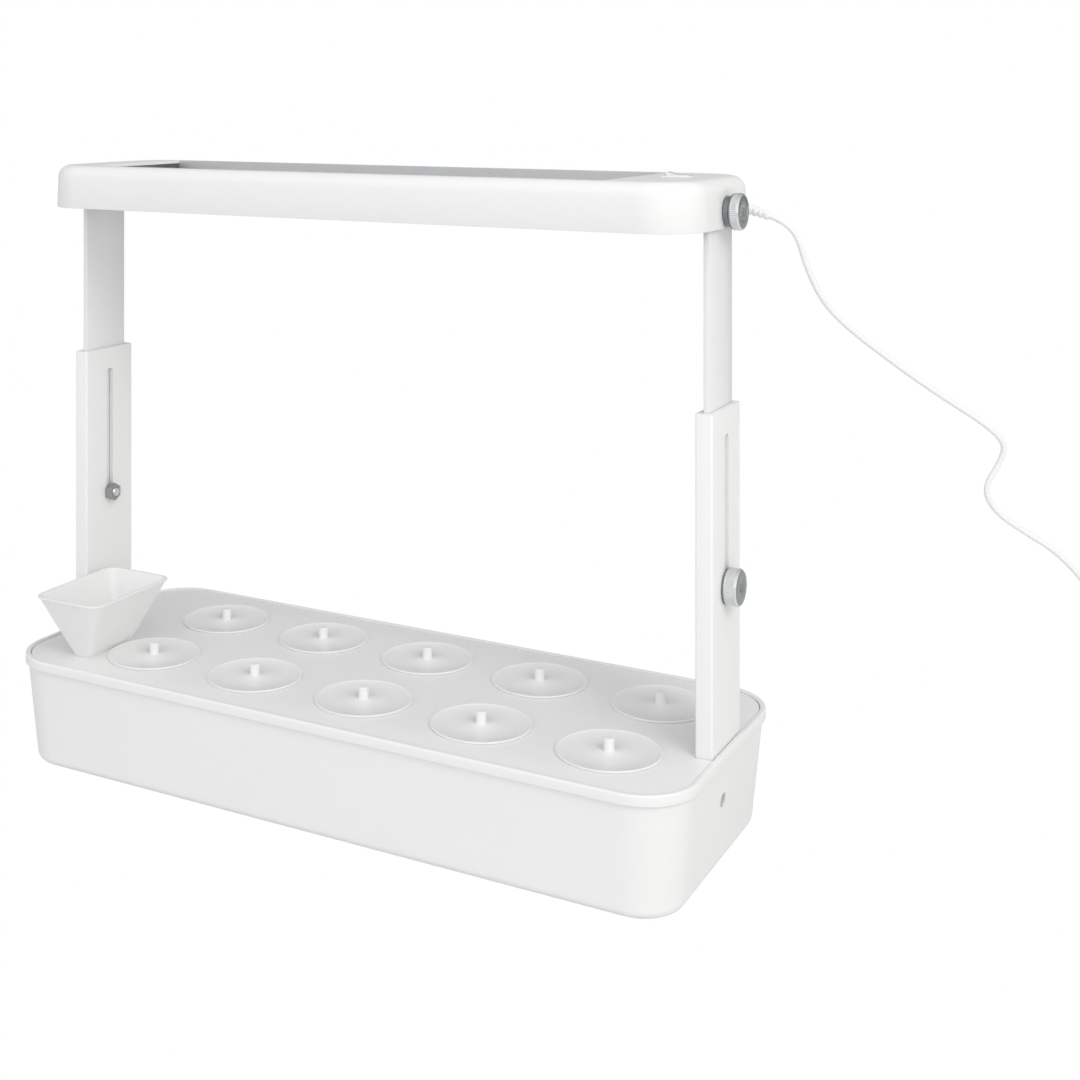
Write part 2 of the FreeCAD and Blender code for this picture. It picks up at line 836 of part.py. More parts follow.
def make_switch_frame():
    bezel = box(
        switch_x - switch_bezel_length / 2,
        switch_x + switch_bezel_length / 2,
        -switch_bezel_width / 2,
        switch_bezel_width / 2,
        lamp_top_z,
        lamp_top_z + switch_bezel_height,
    )
    rim = [e for e in bezel.Edges if e.BoundBox.ZMin > lamp_top_z + switch_bezel_height / 2]
    bezel = bezel.makeChamfer(switch_bezel_edge, rim)
    pocket = box(
        switch_x - rocker_length / 2 - 2 * rocker_gap,
        switch_x + rocker_length / 2 + 2 * rocker_gap,
        -rocker_width / 2 - rocker_gap,
        rocker_width / 2 + rocker_gap,
        lamp_top_z - switch_body_depth + hood_wall,
        lamp_top_z + switch_bezel_height,
    )
    return bezel.fuse(switch_body(0.0)).cut(pocket).removeSplitter()


def rocker_pivot_z():
    return lamp_top_z - rocker_ridge


def make_rocker():
    # two facets that meet in a low valley over the pivot, pressed down at the end next to the knob
    half = rocker_length / 2
    top = lamp_top_z + rocker_rise
    points = [
        V(switch_x - half, -rocker_width / 2, top),
        V(switch_x, -rocker_width / 2, top - rocker_ridge),
        V(switch_x + half, -rocker_width / 2, top),
        V(switch_x + half - rocker_end_lean, -rocker_width / 2, rocker_pivot_z() - rocker_end_depth),
        V(switch_x, -rocker_width / 2, rocker_pivot_z() - rocker_keel),
        V(switch_x - half + rocker_end_lean, -rocker_width / 2, rocker_pivot_z() - rocker_end_depth),
    ]
    rocker = polygon_prism(points, V(0, rocker_width, 0))
    rocker.rotate(V(switch_x, 0, rocker_pivot_z()), V(0, 1, 0), rocker_tilt_deg)
    return rocker


def relief_direction():
    a = math.radians(relief_droop_deg)
    return V(math.cos(a), 0, -math.sin(a))


def relief_exit():
    return V(pivot_boss_x, relief_y, relief_z)


def relief_tip():
    return relief_exit() + relief_direction() * relief_length


def beyond_relief(side):
    # the space past the upright plane through the tip, outward for side 1 and inward for side -1
    tip = relief_tip()
    block = box(0, relief_length, -relief_length, relief_length, -relief_length, relief_length)
    block.translate(V(tip.x - (relief_length if side < 0 else 0), tip.y, tip.z))
    return block


def relief_piece(radius, length, start):
    return turned([(0.0, radius), (length, radius)], V(start, relief_y, relief_z), V(1, 0, 0), relief_sides)


def relief_socket():
    start = pivot_boss_x - relief_stem_length
    return relief_piece(relief_root_radius + relief_fit, relief_stem_length, start)


def make_relief():
    # a stem through the hood's wall, a collar against it, then a grooved taper along the cord's line
    steps = []
    ribs = 3
    length = relief_length - relief_taper_start
    pitch = length / (2 * ribs + 1)
    for k in range(2 * ribs + 1):
        share = (k + 0.5) / (2 * ribs + 1)
        radius = relief_root_radius + (relief_tip_radius - relief_root_radius) * share
        if k % 2 == 1:
            radius -= relief_groove_depth
        start = relief_taper_start + k * pitch
        steps.append((start, radius))
        steps.append((start + pitch, radius))
    steps.append((relief_length + relief_overrun, relief_tip_radius))
    taper = turned(steps, relief_exit(), relief_direction(), relief_sides)
    taper = taper.cut(beyond_relief(1))
    collar = relief_piece(relief_collar_radius, relief_collar_length, pivot_boss_x)
    stem = relief_piece(relief_root_radius, relief_stem_length, pivot_boss_x - relief_stem_length)
    return stem.fuse(collar).fuse(taper).removeSplitter()


def arc_between(start, start_dir, end):
    # the arc that leaves start along start_dir and ends at end
    chord = end - start
    along = start_dir * chord.dot(start_dir)
    side = chord - along
    if side.Length < 1e-6:
        return Part.LineSegment(start, end).toShape()
    radius = chord.dot(chord) / (2 * side.Length)
    centre = start + unit(side) * radius
    middle = centre + unit((start + end) * 0.5 - centre) * radius
    return Part.Arc(start, middle, end).toShape()


def biarc(p0, t0, p1, t1):
    # two tangent arcs from p0 along t0 to p1 along t1, in space
    v = p1 - p0
    a = 2 * (t0.dot(t1) - 1)
    b = -2 * v.dot(t0 + t1)
    c = v.dot(v)
    if abs(a) < 1e-9:
        d = -c / b
    else:
        d = (-b - math.sqrt(b * b - 4 * a * c)) / (2 * a)
    joint = (p0 + t0 * d + p1 - t1 * d) * 0.5
    first = arc_between(p0, t0, joint)
    second = arc_between(p1, t1 * -1, joint)
    return [first, second]


def section(centre, direction):
    # the cord's flat-sided section, one side down
    across = unit(direction.cross(V(0, 0, 1)))
    up = unit(across.cross(direction))
    points = []
    for k in range(cord_sides):
        a = 2 * math.pi * (k + 0.5) / cord_sides - math.pi / 2
        points.append(centre + across * (cord_radius * math.cos(a)) + up * (cord_radius * math.sin(a)))
    return Part.makePolygon(points + points[:1])


def section_area():
    return cord_sides / 2 * cord_radius ** 2 * math.sin(2 * math.pi / cord_sides)


def route_points():
    start = relief_tip()
    points = [start, start + relief_direction() * cord_first_run]
    points += [V(*p) for p in cord_route]
    end = coil_start()
    points.append(end - V(cord_last_run, 0, 0))
    points.append(end)
    return points


def rounded_route(points):
    # straight runs joined by tangent arcs, each as large as its two runs allow
    edges, radii = [], []
    last = points[0]
    for before, corner, after in zip(points, points[1:], points[2:]):
        back, on = before - corner, after - corner
        reach = 0.45 * min(back.Length, on.Length)
        half_turn = (math.pi - back.getAngle(on)) / 2
        radii.append(reach / math.tan(half_turn))
        a = corner + unit(back) * reach
        b = corner + unit(on) * reach
        edges.append(Part.LineSegment(last, a).toShape())
        edges.append(arc_between(a, unit(back) * -1, b))
        last = b
    edges.append(Part.LineSegment(last, points[-1]).toShape())
    return edges, radii


def swept(edges, start, direction):
    return Part.Wire(edges).makePipeShell([section(start, direction)], True, False)


def make_cord():
    points = route_points()
    points[0] -= relief_direction() * relief_overrun
    edges, radii = rounded_route(points)
    cord = swept(edges, points[0], relief_direction()).cut(beyond_relief(-1))
    length = sum(e.Length for e in edges)
    print(f"cord {length:.0f} mm, volume over section x length {cord.Volume / (section_area() * length):.3f}")
    print("cord radii " + " ".join(f"{r:.0f}" for r in radii))
    print("cord runs " + " ".join(f"{(b - a).Length:.0f}" for a, b in zip(points, points[1:])))
    return cord


def coil_point(x, y, z):
    # a place beside the coil's middle: its turns start in front of it, towards the right
    return V(coil_x + y, coil_y - x, z)


def coil_start():
    return coil_point(coil_radius, -2 * cord_radius, coil_axis_z)


def half_turn(side, radius, offset, z):
    # the right half for side 1, the left half for side -1, both anticlockwise
    a = coil_point(offset + side * radius, 0, z)
    m = coil_point(offset, side * radius, z)
    b = coil_point(offset - side * radius, 0, z)
    return Part.Arc(a, m, b).toShape()


def make_coil():
    # turns inward on the floor, a climb of one layer in half a turn, and out again on top
    half = coil_pitch / 2
    low, high = coil_axis_z, coil_axis_z + coil_pitch
    begin = coil_start()
    on, back = V(1, 0, 0), V(-1, 0, 0)
    edges = [Part.LineSegment(begin, coil_point(coil_radius, 0, low)).toShape()]
    radius = coil_radius
    for turn in range(coil_turns_inward):
        edges.append(half_turn(1, radius, 0, low))
        edges.append(half_turn(-1, radius - half, -half, low))
        radius -= coil_pitch
    slope = 2 * coil_pitch / (math.pi * radius)
    middle = coil_point(0, radius, (low + high) / 2)
    rising = unit(V(0, 1, slope))
    edges += biarc(coil_point(radius, 0, low), on, middle, rising)
    edges += biarc(middle, rising, coil_point(-radius, 0, high), back)
    for turn in range(coil_turns_inward):
        if turn:
            edges.append(half_turn(1, radius, 0, high))
        edges.append(half_turn(-1, radius + half, half, high))
        radius += coil_pitch
    out = coil_point(coil_radius, 0, high)
    far = plug_start() - on * (2 * cord_radius)
    edges += biarc(out, on, far, on)
    edges.append(Part.LineSegment(far, plug_start()).toShape())
    fixed = []
    last = begin
    for e in edges:
        if (e.Vertexes[0].Point - last).Length > 1e-4:
            e = reversed_edge(e)
        fixed.append(e)
        last = e.Vertexes[-1].Point
    coil = swept(fixed, begin, on)
    length = sum(e.Length for e in fixed)
    print(f"coil {length:.0f} mm, volume over section x length {coil.Volume / (section_area() * length):.3f}")
    print(f"coil's least gap to itself {least_gap(fixed):.2f} mm")
    return coil


def reversed_edge(edge):
    a, b = edge.Vertexes[0].Point, edge.Vertexes[-1].Point
    middle = edge.valueAt((edge.FirstParameter + edge.LastParameter) / 2)
    if abs((middle - a).Length + (b - middle).Length - (b - a).Length) < 1e-6:
        return Part.LineSegment(b, a).toShape()
    return Part.Arc(b, middle, a).toShape()


def least_gap(edges):
    # between points of the centre line that lie more than three diameters apart along it
    points, along = [], []
    total = 0.0
    for e in edges:
        count = max(2, int(e.Length / 1.5))
        for p in e.discretize(count)[:-1]:
            if points:
                total += (p - points[-1]).Length
            points.append(p)
            along.append(total)
    least = 1e9
    for i in range(len(points)):
        for j in range(i + 1, len(points)):
            if along[j] - along[i] > 6 * cord_radius:
                least = min(least, (points[i] - points[j]).Length)
    return least - 2 * cord_radius


def make_tie():
    # a band round both layers where the half turns reach furthest back
    near = coil_radius - coil_pitch / 2 + cord_radius + tie_clearance
    far = coil_radius - coil_pitch / 2 - (coil_turns_inward - 1) * coil_pitch
    far -= cord_radius + tie_inner_clearance
    top = coil_axis_z + coil_pitch + cord_radius + tie_clearance
    y0, y1 = coil_y - tie_width / 2, coil_y + tie_width / 2
    outer = box(coil_x - near - tie_thickness, coil_x - far + tie_thickness, y0, y1, 0, top + tie_thickness)
    along = [e for e in outer.Edges if e.BoundBox.YLength > tie_width / 2]
    outer = outer.makeChamfer(tie_corner, along)
    inner = box(coil_x - near, coil_x - far, y0, y1, tie_thickness, top)
    return outer.cut(inner)


def plug_start():
    low_face = plug_radius * math.cos(math.pi / plug_sides)
    return coil_point(coil_radius + tail_shift, tail_reach, low_face)


def make_plug():
    neck_end = plug_neck_length
    profile = [
        (0.0, plug_neck_radius),
        (neck_end, plug_radius - plug_edge),
        (neck_end, plug_radius),
        (plug_length - plug_edge, plug_radius),
        (plug_length, plug_radius - plug_edge),
    ]
    return turned(profile, plug_start(), V(1, 0, 0), plug_sides)


def make_plug_tip():
    start = plug_start() + V(plug_length, 0, 0)
    x = V(1, 0, 0)
    tip = turned([(0.0, plug_tip_radius), (plug_tip_length, plug_tip_radius)], start, x, small_sides)
    bore = turned([(plug_tip_seat, plug_tip_bore), (plug_tip_length, plug_tip_bore)], start, x, bore_sides)
    return tip.cut(bore)


def build():
    parts = {}
    parts["tank"] = make_tank()
    parts["deck"] = make_deck()
    parts["funnel"] = make_funnel()
    for name, x, y in pod_places():
        parts[f"net_cup_{name}"] = make_cup(x, y)
        parts[f"lid_{name}"] = make_lid(x, y)
    sleeve = make_sleeve()
    bar = make_bar()
    lower_nut = make_nut(sleeve_inner_x - nut_gap, clamp_height)
    upper_nut = make_nut(bar_inner_x - nut_gap, pivot_height)
    lower_start = sleeve_inner_x - nut_gap - nut_thickness - stud_past_nut
    upper_start = bar_inner_x - nut_gap - nut_thickness - stud_past_nut
    lower_knob_x = sleeve_outer_x + knob_gap
    upper_knob_x = pivot_boss_x + spacer_length + knob_gap
    stud_stop = knob_cap_thickness + stud_end_gap
    spacer = make_spacer()
    sides = {
        "sleeve": sleeve,
        "bar": bar,
        "height_nut": lower_nut,
        "height_stud": make_stud(lower_start, lower_knob_x + knob_length - stud_stop, clamp_height),
        "height_knob": make_knob(lower_knob_x, knob_length, clamp_height),
        "pivot_nut": upper_nut,
        "pivot_stud": make_stud(upper_start, upper_knob_x + upper_knob_length - stud_stop, pivot_height),
        "pivot_knob": make_knob(upper_knob_x, upper_knob_length, pivot_height),
        "pivot_spacer": spacer,
    }
    for name, shape in sides.items():
        parts[f"right_{name}"] = shape
        parts[f"left_{name}"] = mirrored(shape)
    parts["lamp_housing"] = make_housing()
    parts["heat_sink"] = make_heat_sink()
    parts["diffuser"] = make_diffuser()
    parts["led_board"] = make_board()
    parts["leds"] = make_leds()
    parts["led_driver"] = make_driver()
    parts["switch_frame"] = make_switch_frame()
    parts["switch_rocker"] = make_rocker()
    parts["strain_relief"] = make_relief()
    parts["cord"] = make_cord()
    parts["cord_coil"] = make_coil()
    parts["cord_tie"] = make_tie()
    parts["dc_plug"] = make_plug()
    parts["plug_barrel"] = make_plug_tip()
    return parts


def main():
    os.makedirs("parts", exist_ok=True)
    for node, shape in build().items():
        closed = shape.isValid() and all(s.isClosed() for s in shape.Shells)
        print(f"{node}: {len(shape.Solids)} solid(s), {shape.Volume / 1000:.2f} cm3, closed {closed}")
        shape.exportStep(f"parts/{node}.step")


main()
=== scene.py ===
# %% [markdown]
# # Countertop hydroponic garden
#
# A long white water tank carries a planting deck with ten pegged lids and a filling funnel. Two
# flat bars slide in slotted sleeves at the tank's ends and hold a grow lamp, which can tilt and be
# raised. A thin white cord leaves the lamp's right end, drops behind the garden and ends in a tied
# coil on the floor, outside the picture.
#
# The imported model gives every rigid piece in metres, with +X along the tank to the cord's end, +Y
# to the back and +Z up. This script adds the camera, the materials, finer surfaces for the pieces
# that show most, the soft cord and the light.

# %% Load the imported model
import bmesh
import bpy
import json
import math
import numpy as np
from mathutils import Matrix, Vector


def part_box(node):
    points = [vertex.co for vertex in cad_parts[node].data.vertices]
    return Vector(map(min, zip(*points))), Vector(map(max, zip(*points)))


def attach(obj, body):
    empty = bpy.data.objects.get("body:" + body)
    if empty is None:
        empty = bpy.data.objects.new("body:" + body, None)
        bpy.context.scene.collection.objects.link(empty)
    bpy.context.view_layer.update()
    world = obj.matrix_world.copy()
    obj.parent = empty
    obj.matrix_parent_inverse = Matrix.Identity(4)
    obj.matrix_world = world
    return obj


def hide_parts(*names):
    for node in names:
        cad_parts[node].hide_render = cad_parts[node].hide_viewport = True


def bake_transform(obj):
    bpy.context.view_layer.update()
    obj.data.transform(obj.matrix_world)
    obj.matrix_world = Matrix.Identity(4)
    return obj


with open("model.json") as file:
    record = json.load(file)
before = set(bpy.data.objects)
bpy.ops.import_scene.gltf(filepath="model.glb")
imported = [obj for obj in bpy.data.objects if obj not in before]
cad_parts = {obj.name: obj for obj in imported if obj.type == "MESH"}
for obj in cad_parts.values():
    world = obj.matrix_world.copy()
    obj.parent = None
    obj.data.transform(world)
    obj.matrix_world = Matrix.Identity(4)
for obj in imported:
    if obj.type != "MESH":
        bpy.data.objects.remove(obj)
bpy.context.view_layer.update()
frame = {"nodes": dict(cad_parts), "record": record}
nodes = frame["nodes"]
slots = {part["node"]: part["material_slot"] for part in frame["record"]["subparts"]}
home = {node: body for body, group in frame["record"]["behaviour"]["bodies"].items() for node in group}


def new_object(name, data):
    """An object of the given data, linked to the scene."""
    piece = bpy.data.objects.new(name, data)
    bpy.context.scene.collection.objects.link(piece)
    return piece


# %% [markdown]
# ## Camera
#
# The photograph was taken from in front of the right end, a little above the lamp. Its uprights
# stay parallel in the picture, so the camera is level and its picture is shifted:
#
# $$u = c_x + f\,\frac{r}{d}, \qquad v = c_y - f\,\frac{h}{d}$$
#
# with $d$ the distance ahead of the camera, $r$ to its right, $h$ above it, and the picture 1080
# pixels wide.

# %% Camera
PICTURE = 1080.0
FOCAL = 1624.5
CENTRE_X, CENTRE_Y = 413.6, 93.8
TURN = math.radians(29.404)
EYE = (0.6540, -1.1038, 0.5457)

lens = bpy.data.cameras.new("camera")
lens.sensor_width = 36.0
lens.lens = FOCAL / PICTURE * lens.sensor_width
lens.shift_x = (PICTURE / 2 - CENTRE_X) / PICTURE
lens.shift_y = (CENTRE_Y - PICTURE / 2) / PICTURE
lens.clip_end = 50.0
camera = new_object("camera", lens)
camera.location = EYE
camera.rotation_euler = (math.radians(90), 0.0, TURN)
bpy.context.scene.camera = camera
print("lens", round(lens.lens, 2), "mm")

# %% [markdown]
# ## Materials
#
# All moulded parts share one node group: a fine grain in the bump and the roughness, and slow
# mottling of the colour by a percent or two. Its positions are Object coordinates, so the grain has
# a real size, in metres. Metal parts have fine lines instead, stretched along one direction.

# %% Node helpers
def new_material(name):
    material = bpy.data.materials.new(name)
    material.use_nodes = True
    material.node_tree.nodes.clear()
    return material, material.node_tree


def add(tree, kind, values=None, **settings):
    """A new node with its settings and the values of its named inputs."""
    node = tree.nodes.new(kind)
    for key, value in settings.items():
        setattr(node, key, value)
    for key, value in (values or {}).items():
        node.inputs[key].default_value = value
    return node


def link(tree, source, output, target, name):
    tree.links.new(source.outputs[output], target.inputs[name])


def make_grain_group():
    """Object position in, colour factor, roughness offset and bump height out."""
    group = bpy.data.node_groups.new("moulded grain", "ShaderNodeTree")
    face = group.interface
    face.new_socket("Position", in_out="INPUT", socket_type="NodeSocketVector")
    size = face.new_socket("Grain size", in_out="INPUT", socket_type="NodeSocketFloat")
    size.default_value = 0.0004
    for name in ("Shade", "Roughness", "Height"):
        face.new_socket(name, in_out="OUTPUT", socket_type="NodeSocketFloat")
    enter = add(group, "NodeGroupInput")
    leave = add(group, "NodeGroupOutput")
    scale = add(group, "ShaderNodeMath", {0: 1.0}, operation="DIVIDE")
    link(group, enter, "Grain size", scale, 1)
    fine = add(group, "ShaderNodeTexNoise", {"Detail": 3.0, "Roughness": 0.6})
    link(group, enter, "Position", fine, "Vector")
    link(group, scale, 0, fine, "Scale")
    slow = add(group, "ShaderNodeTexNoise", {"Scale": 14.0, "Detail": 4.0, "Roughness": 0.55})
    link(group, enter, "Position", slow, "Vector")
    shade = add(group, "ShaderNodeMapRange", {"To Min": 0.988, "To Max": 1.010})
    link(group, slow, "Fac", shade, "Value")
    rough = add(group, "ShaderNodeMapRange", {"To Min": -0.05, "To Max": 0.05})
    link(group, slow, "Fac", rough, "Value")
    link(group, shade, "Result", leave, "Shade")
    link(group, rough, "Result", leave, "Roughness")
    link(group, fine, "Fac", leave, "Height")
    return group


GRAIN = make_grain_group()


def moulded(name, colour, roughness=0.42, grain=0.0004, bump=0.05, coat=0.0):
    """A plastic or painted finish: the shared grain over a principled surface."""
    material, tree = new_material(name)
    place = add(tree, "ShaderNodeTexCoord")
    group = add(tree, "ShaderNodeGroup", node_tree=GRAIN)
    group.inputs["Grain size"].default_value = grain
    link(tree, place, "Object", group, "Position")
    tint = add(tree, "ShaderNodeMix", {"Factor": 1.0}, data_type="RGBA", blend_type="MULTIPLY")
    tint.inputs[6].default_value = (*colour, 1.0)
    link(tree, group, "Shade", tint, 7)
    rough = add(tree, "ShaderNodeMath", {0: roughness}, operation="ADD")
    link(tree, group, "Roughness", rough, 1)
    bumped = add(tree, "ShaderNodeBump", {"Strength": bump, "Distance": 0.0002})
    link(tree, group, "Height", bumped, "Height")
    surface = add(tree, "ShaderNodeBsdfPrincipled", {"Coat Weight": coat, "Coat Roughness": 0.15})
    tree.links.new(tint.outputs[2], surface.inputs["Base Color"])
    link(tree, rough, 0, surface, "Roughness")
    link(tree, bumped, "Normal", surface, "Normal")
    out = add(tree, "ShaderNodeOutputMaterial")
    link(tree, surface, "BSDF", out, "Surface")
    return material


def brushed(name, colour, roughness, stretch, bump=0.15):
    """Metal with fine lines along one direction: stretch is the noise scale along X, Y and Z."""
    material, tree = new_material(name)
    place = add(tree, "ShaderNodeTexCoord")
    mapping = add(tree, "ShaderNodeMapping", {"Scale": stretch})
    link(tree, place, "Object", mapping, "Vector")
    lines = add(tree, "ShaderNodeTexNoise", {"Scale": 1.0, "Detail": 5.0, "Roughness": 0.65})
    link(tree, mapping, "Vector", lines, "Vector")
    rough = add(tree, "ShaderNodeMapRange", {"To Min": roughness - 0.08, "To Max": roughness + 0.1})
    link(tree, lines, "Fac", rough, "Value")
    tint = add(tree, "ShaderNodeMapRange", {"To Min": 0.86, "To Max": 1.06})
    link(tree, lines, "Fac", tint, "Value")
    mixed = add(tree, "ShaderNodeMix", {"Factor": 1.0}, data_type="RGBA", blend_type="MULTIPLY")
    mixed.inputs[6].default_value = (*colour, 1.0)
    link(tree, tint, "Result", mixed, 7)
    bumped = add(tree, "ShaderNodeBump", {"Strength": bump, "Distance": 0.0001})
    link(tree, lines, "Fac", bumped, "Height")
    surface = add(tree, "ShaderNodeBsdfPrincipled", {"Metallic": 1.0})
    tree.links.new(mixed.outputs[2], surface.inputs["Base Color"])
    link(tree, rough, "Result", surface, "Roughness")
    link(tree, bumped, "Normal", surface, "Normal")
    out = add(tree, "ShaderNodeOutputMaterial")
    link(tree, surface, "BSDF", out, "Surface")
    return material


# %% [markdown]
# ## Finishes
#
# Each material slot of the imported model has one finish. The knobs add a darker end face and a polished
# bevel, and the pivot spacers are dark metal. Their dark finish is also put on the knobs' inner end as
# painted shade of the gap against the sleeve.

# %% Finishes by material slot
FINISHES = {
    "white_plastic": moulded("satin white plastic", (0.83, 0.83, 0.83), 0.40, 0.0005, 0.06),
    "net_cup_plastic": moulded("net cup plastic", (0.80, 0.80, 0.79), 0.5, 0.0004, 0.08),
    "white_metal": moulded("painted bar", (0.80, 0.80, 0.81), 0.30, 0.0007, 0.10, coat=0.3),
    "plated_steel": brushed("plated steel", (0.74, 0.75, 0.76), 0.30, (6000.0, 900.0, 900.0)),
    "aluminium": brushed("extruded aluminium", (0.74, 0.75, 0.76), 0.50, (120.0, 6000.0, 6000.0)),
    "diffuser_plastic": moulded("milky diffuser", (0.86, 0.86, 0.84), 0.25, 0.0012, 0.10),
    "board": moulded("white board", (0.74, 0.75, 0.74), 0.35, 0.0006, 0.05),
    "led_lens": moulded("phosphor", (0.80, 0.68, 0.22), 0.25, 0.0003, 0.05),
    "driver_case": moulded("driver case", (0.035, 0.035, 0.038), 0.5, 0.0004, 0.12),
    "switch_plastic": moulded("switch plastic", (0.80, 0.80, 0.80), 0.22, 0.0003, 0.03, coat=0.4),
    "cord_jacket": moulded("cord jacket", (0.84, 0.84, 0.84), 0.45, 0.0020, 0.01),
    "tie_plastic": moulded("tie plastic", (0.72, 0.72, 0.72), 0.45, 0.0003, 0.08),
    "bright_metal": brushed("plug metal", (0.70, 0.70, 0.70), 0.18, (900.0, 6000.0, 900.0)),
}
KNOB_FACE = brushed("knob end face", (0.34, 0.37, 0.37), 0.22, (900.0, 2400.0, 2400.0))
BRIGHT_EDGE = brushed("polished bevel", (0.90, 0.91, 0.92), 0.14, (2400.0, 900.0, 900.0), 0.05)
# the pivot spacers' own dark metal, also put on the knobs' inner end as painted shade of the gap against the
# sleeve
DARK_SPACER_AND_GAP_SHADE = brushed("dark spacer and painted gap shade", (0.26, 0.28, 0.285), 0.34, (3000.0, 900.0, 900.0))
for name, piece in nodes.items():
    piece.data.materials.clear()
    piece.data.materials.append(FINISHES[slots[name]])
print(len(FINISHES), "finishes")

# %% [markdown]
# ## Surfaces
#
# A moulded box with round corners is a stack of rings. Each ring is a rectangle whose corners are
# quarter circles, so one small table of levels and insets describes a whole tank, and the points
# come out as one array. A turned piece is the same grid with circles for rings. Neighbouring rings
# are joined by quads, and the first and last ring are capped, or joined to each other.

# %% Surface helpers
def outline(half_x, half_y, radius, z, centre=(0.0, 0.0), per_corner=18):
    """Rings: corner centres at (half - radius), plus radius times (cos, sin) of the quarter's angle."""
    columns = [np.atleast_1d(np.asarray(v, float))[:, None] for v in (half_x, half_y, radius, z)]
    half_x, half_y, radius, z = columns
    quarter = np.repeat(np.arange(4), per_corner + 1)
    angle = (quarter + np.tile(np.linspace(0, 1, per_corner + 1), 4)) * math.pi / 2
    side_x = np.where((quarter == 0) | (quarter == 3), 1.0, -1.0)
    side_y = np.where(quarter < 2, 1.0, -1.0)
    x = centre[0] + side_x * (half_x - radius) + radius * np.cos(angle)
    y = centre[1] + side_y * (half_y - radius) + radius * np.sin(angle)
    return np.stack(np.broadcast_arrays(x, y, z), axis=-1)


def inset_rings(half, radius, rows, per_corner=18):
    """Rings of one outline moved in: rows holds (inset, level) pairs."""
    inset, level = np.array(rows).T
    return outline(half[0] - inset, half[1] - inset, radius - inset, level, per_corner=per_corner)


def quarter_round(start, end, steps, bulge="first"):
    """(inset, level) pairs on a quarter of an ellipse: the level turns with sin, the inset with 1 - cos."""
    turn = np.linspace(0, math.pi / 2, steps + 1)
    rise, run = np.sin(turn), 1 - np.cos(turn)
    if bulge == "last":
        rise, run = run, rise
    inset = start[0] + (end[0] - start[0]) * run
    level = start[1] + (end[1] - start[1]) * rise
    return list(zip(inset.tolist(), level.tolist()))


def turned(profile, origin, aim, sides=48, reach=None):
    """Rings about aim: origin + along * aim + radius * (cos, sin); reach may vary the radius by angle."""
    aim = Vector(aim).normalized()
    across = aim.cross(Vector((0, 1, 0) if abs(aim.y) < 0.9 else (0, 0, 1))).normalized()
    axes = np.array([across, aim.cross(across), aim])
    along, radius = np.array(profile).T[:, :, None]
    angle = np.linspace(0, 2 * math.pi, sides, endpoint=False)
    if reach is not None:
        radius = radius + reach(along, angle)
    grid = np.stack(np.broadcast_arrays(radius * np.cos(angle), radius * np.sin(angle), along), axis=-1)
    return grid @ axes + np.array(origin)


def ring_faces(rings, first=0, closed=False):
    """Quads between rings of points, and caps at both ends or quads back to the first ring."""
    rows, columns = rings.shape[:2]
    i, j = np.meshgrid(np.arange(rows if closed else rows - 1), np.arange(columns), indexing="ij")
    up, on = (i + 1) % rows, (j + 1) % columns
    quads = np.stack([i * columns + j, i * columns + on, up * columns + on, up * columns + j], axis=-1)
    faces = (quads.reshape(-1, 4) + first).tolist()
    if not closed:
        faces.append(list(range(first + columns - 1, first - 1, -1)))
        faces.append(list(range(first + (rows - 1) * columns, first + rows * columns)))
    return faces


def solid_mesh(name, points, faces):
    """A mesh of closed shells with every face turned outward."""
    mesh = bpy.data.meshes.new(name)
    mesh.from_pydata(points, [], faces)
    shape = bmesh.new()
    shape.from_mesh(mesh)
    bmesh.ops.recalc_face_normals(shape, faces=shape.faces)
    shape.to_mesh(mesh)
    shape.free()
    return mesh


def make_piece(name, shells, node, sharp=32.0, rides=True):
    """One object from several ring grids, which replaces a node and rides on its body."""
    points, faces = [], []
    for rings, closed in shells:
        faces += ring_faces(rings, sum(len(p) for p in points), closed)
        points.append(rings.reshape(-1, 3))
    piece = new_object(name, solid_mesh(name, np.concatenate(points).tolist(), faces))
    finish_piece(piece, node, sharp, rides)
    return piece


def finish_piece(piece, node, sharp=32.0, rides=True):
    """Smooth shading with sharp edges past an angle, then the finish of the node's slot, and the node's body.
    """
    piece.data.shade_smooth()
    piece.data.set_sharp_from_angle(angle=math.radians(sharp))
    piece.data.materials.clear()
    piece.data.materials.append(FINISHES[slots[node]])
    if rides:
        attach(piece, home[node])
    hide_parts(node)


def block(x0, x1, y0, y1, z0, z1):
    """A plain box as two rings."""
    corner = np.array([(x1, y0), (x1, y1), (x0, y1), (x0, y0)])
    return np.stack([np.column_stack([corner, np.full(4, z)]) for z in (z0, z1)])


def end_block(side, inner, outer, half_y, z0, z1):
    """A box at the tank's left (-1) or right (1) end, across its middle."""
    x0, x1 = sorted((side * inner, side * outer))
    return block(x0, x1, -half_y, half_y, z0, z1)


def cut_away(piece, cutters, sharp=32.0):
    """The piece's mesh with the cutters' space taken out of it."""
    tools = []
    for rings in cutters:
        mesh = solid_mesh("cutter", rings.reshape(-1, 3).tolist(), ring_faces(rings))
        tool = new_object("cutter", mesh)
        tools.append(tool)
        change = piece.modifiers.new("cut", "BOOLEAN")
        change.operation = "DIFFERENCE"
        change.solver = "EXACT"
        change.object = tool
    depsgraph = bpy.context.evaluated_depsgraph_get()
    mesh = bpy.data.meshes.new_from_object(piece.evaluated_get(depsgraph))
    piece.modifiers.clear()
    piece.data = mesh
    mesh.shade_smooth()
    mesh.set_sharp_from_angle(angle=math.radians(sharp))
    for tool in tools:
        bpy.data.objects.remove(tool)


# %% [markdown]
# ## Tank
#
# The tank is one moulding: a drafted wall with a round foot, a collar round the top that stands
# proud of the wall, and a rim with a small round. Inside, a narrow shelf carries the deck, and a
# block at each end takes the sleeve's tongue. The profile goes up the outside and down the inside.

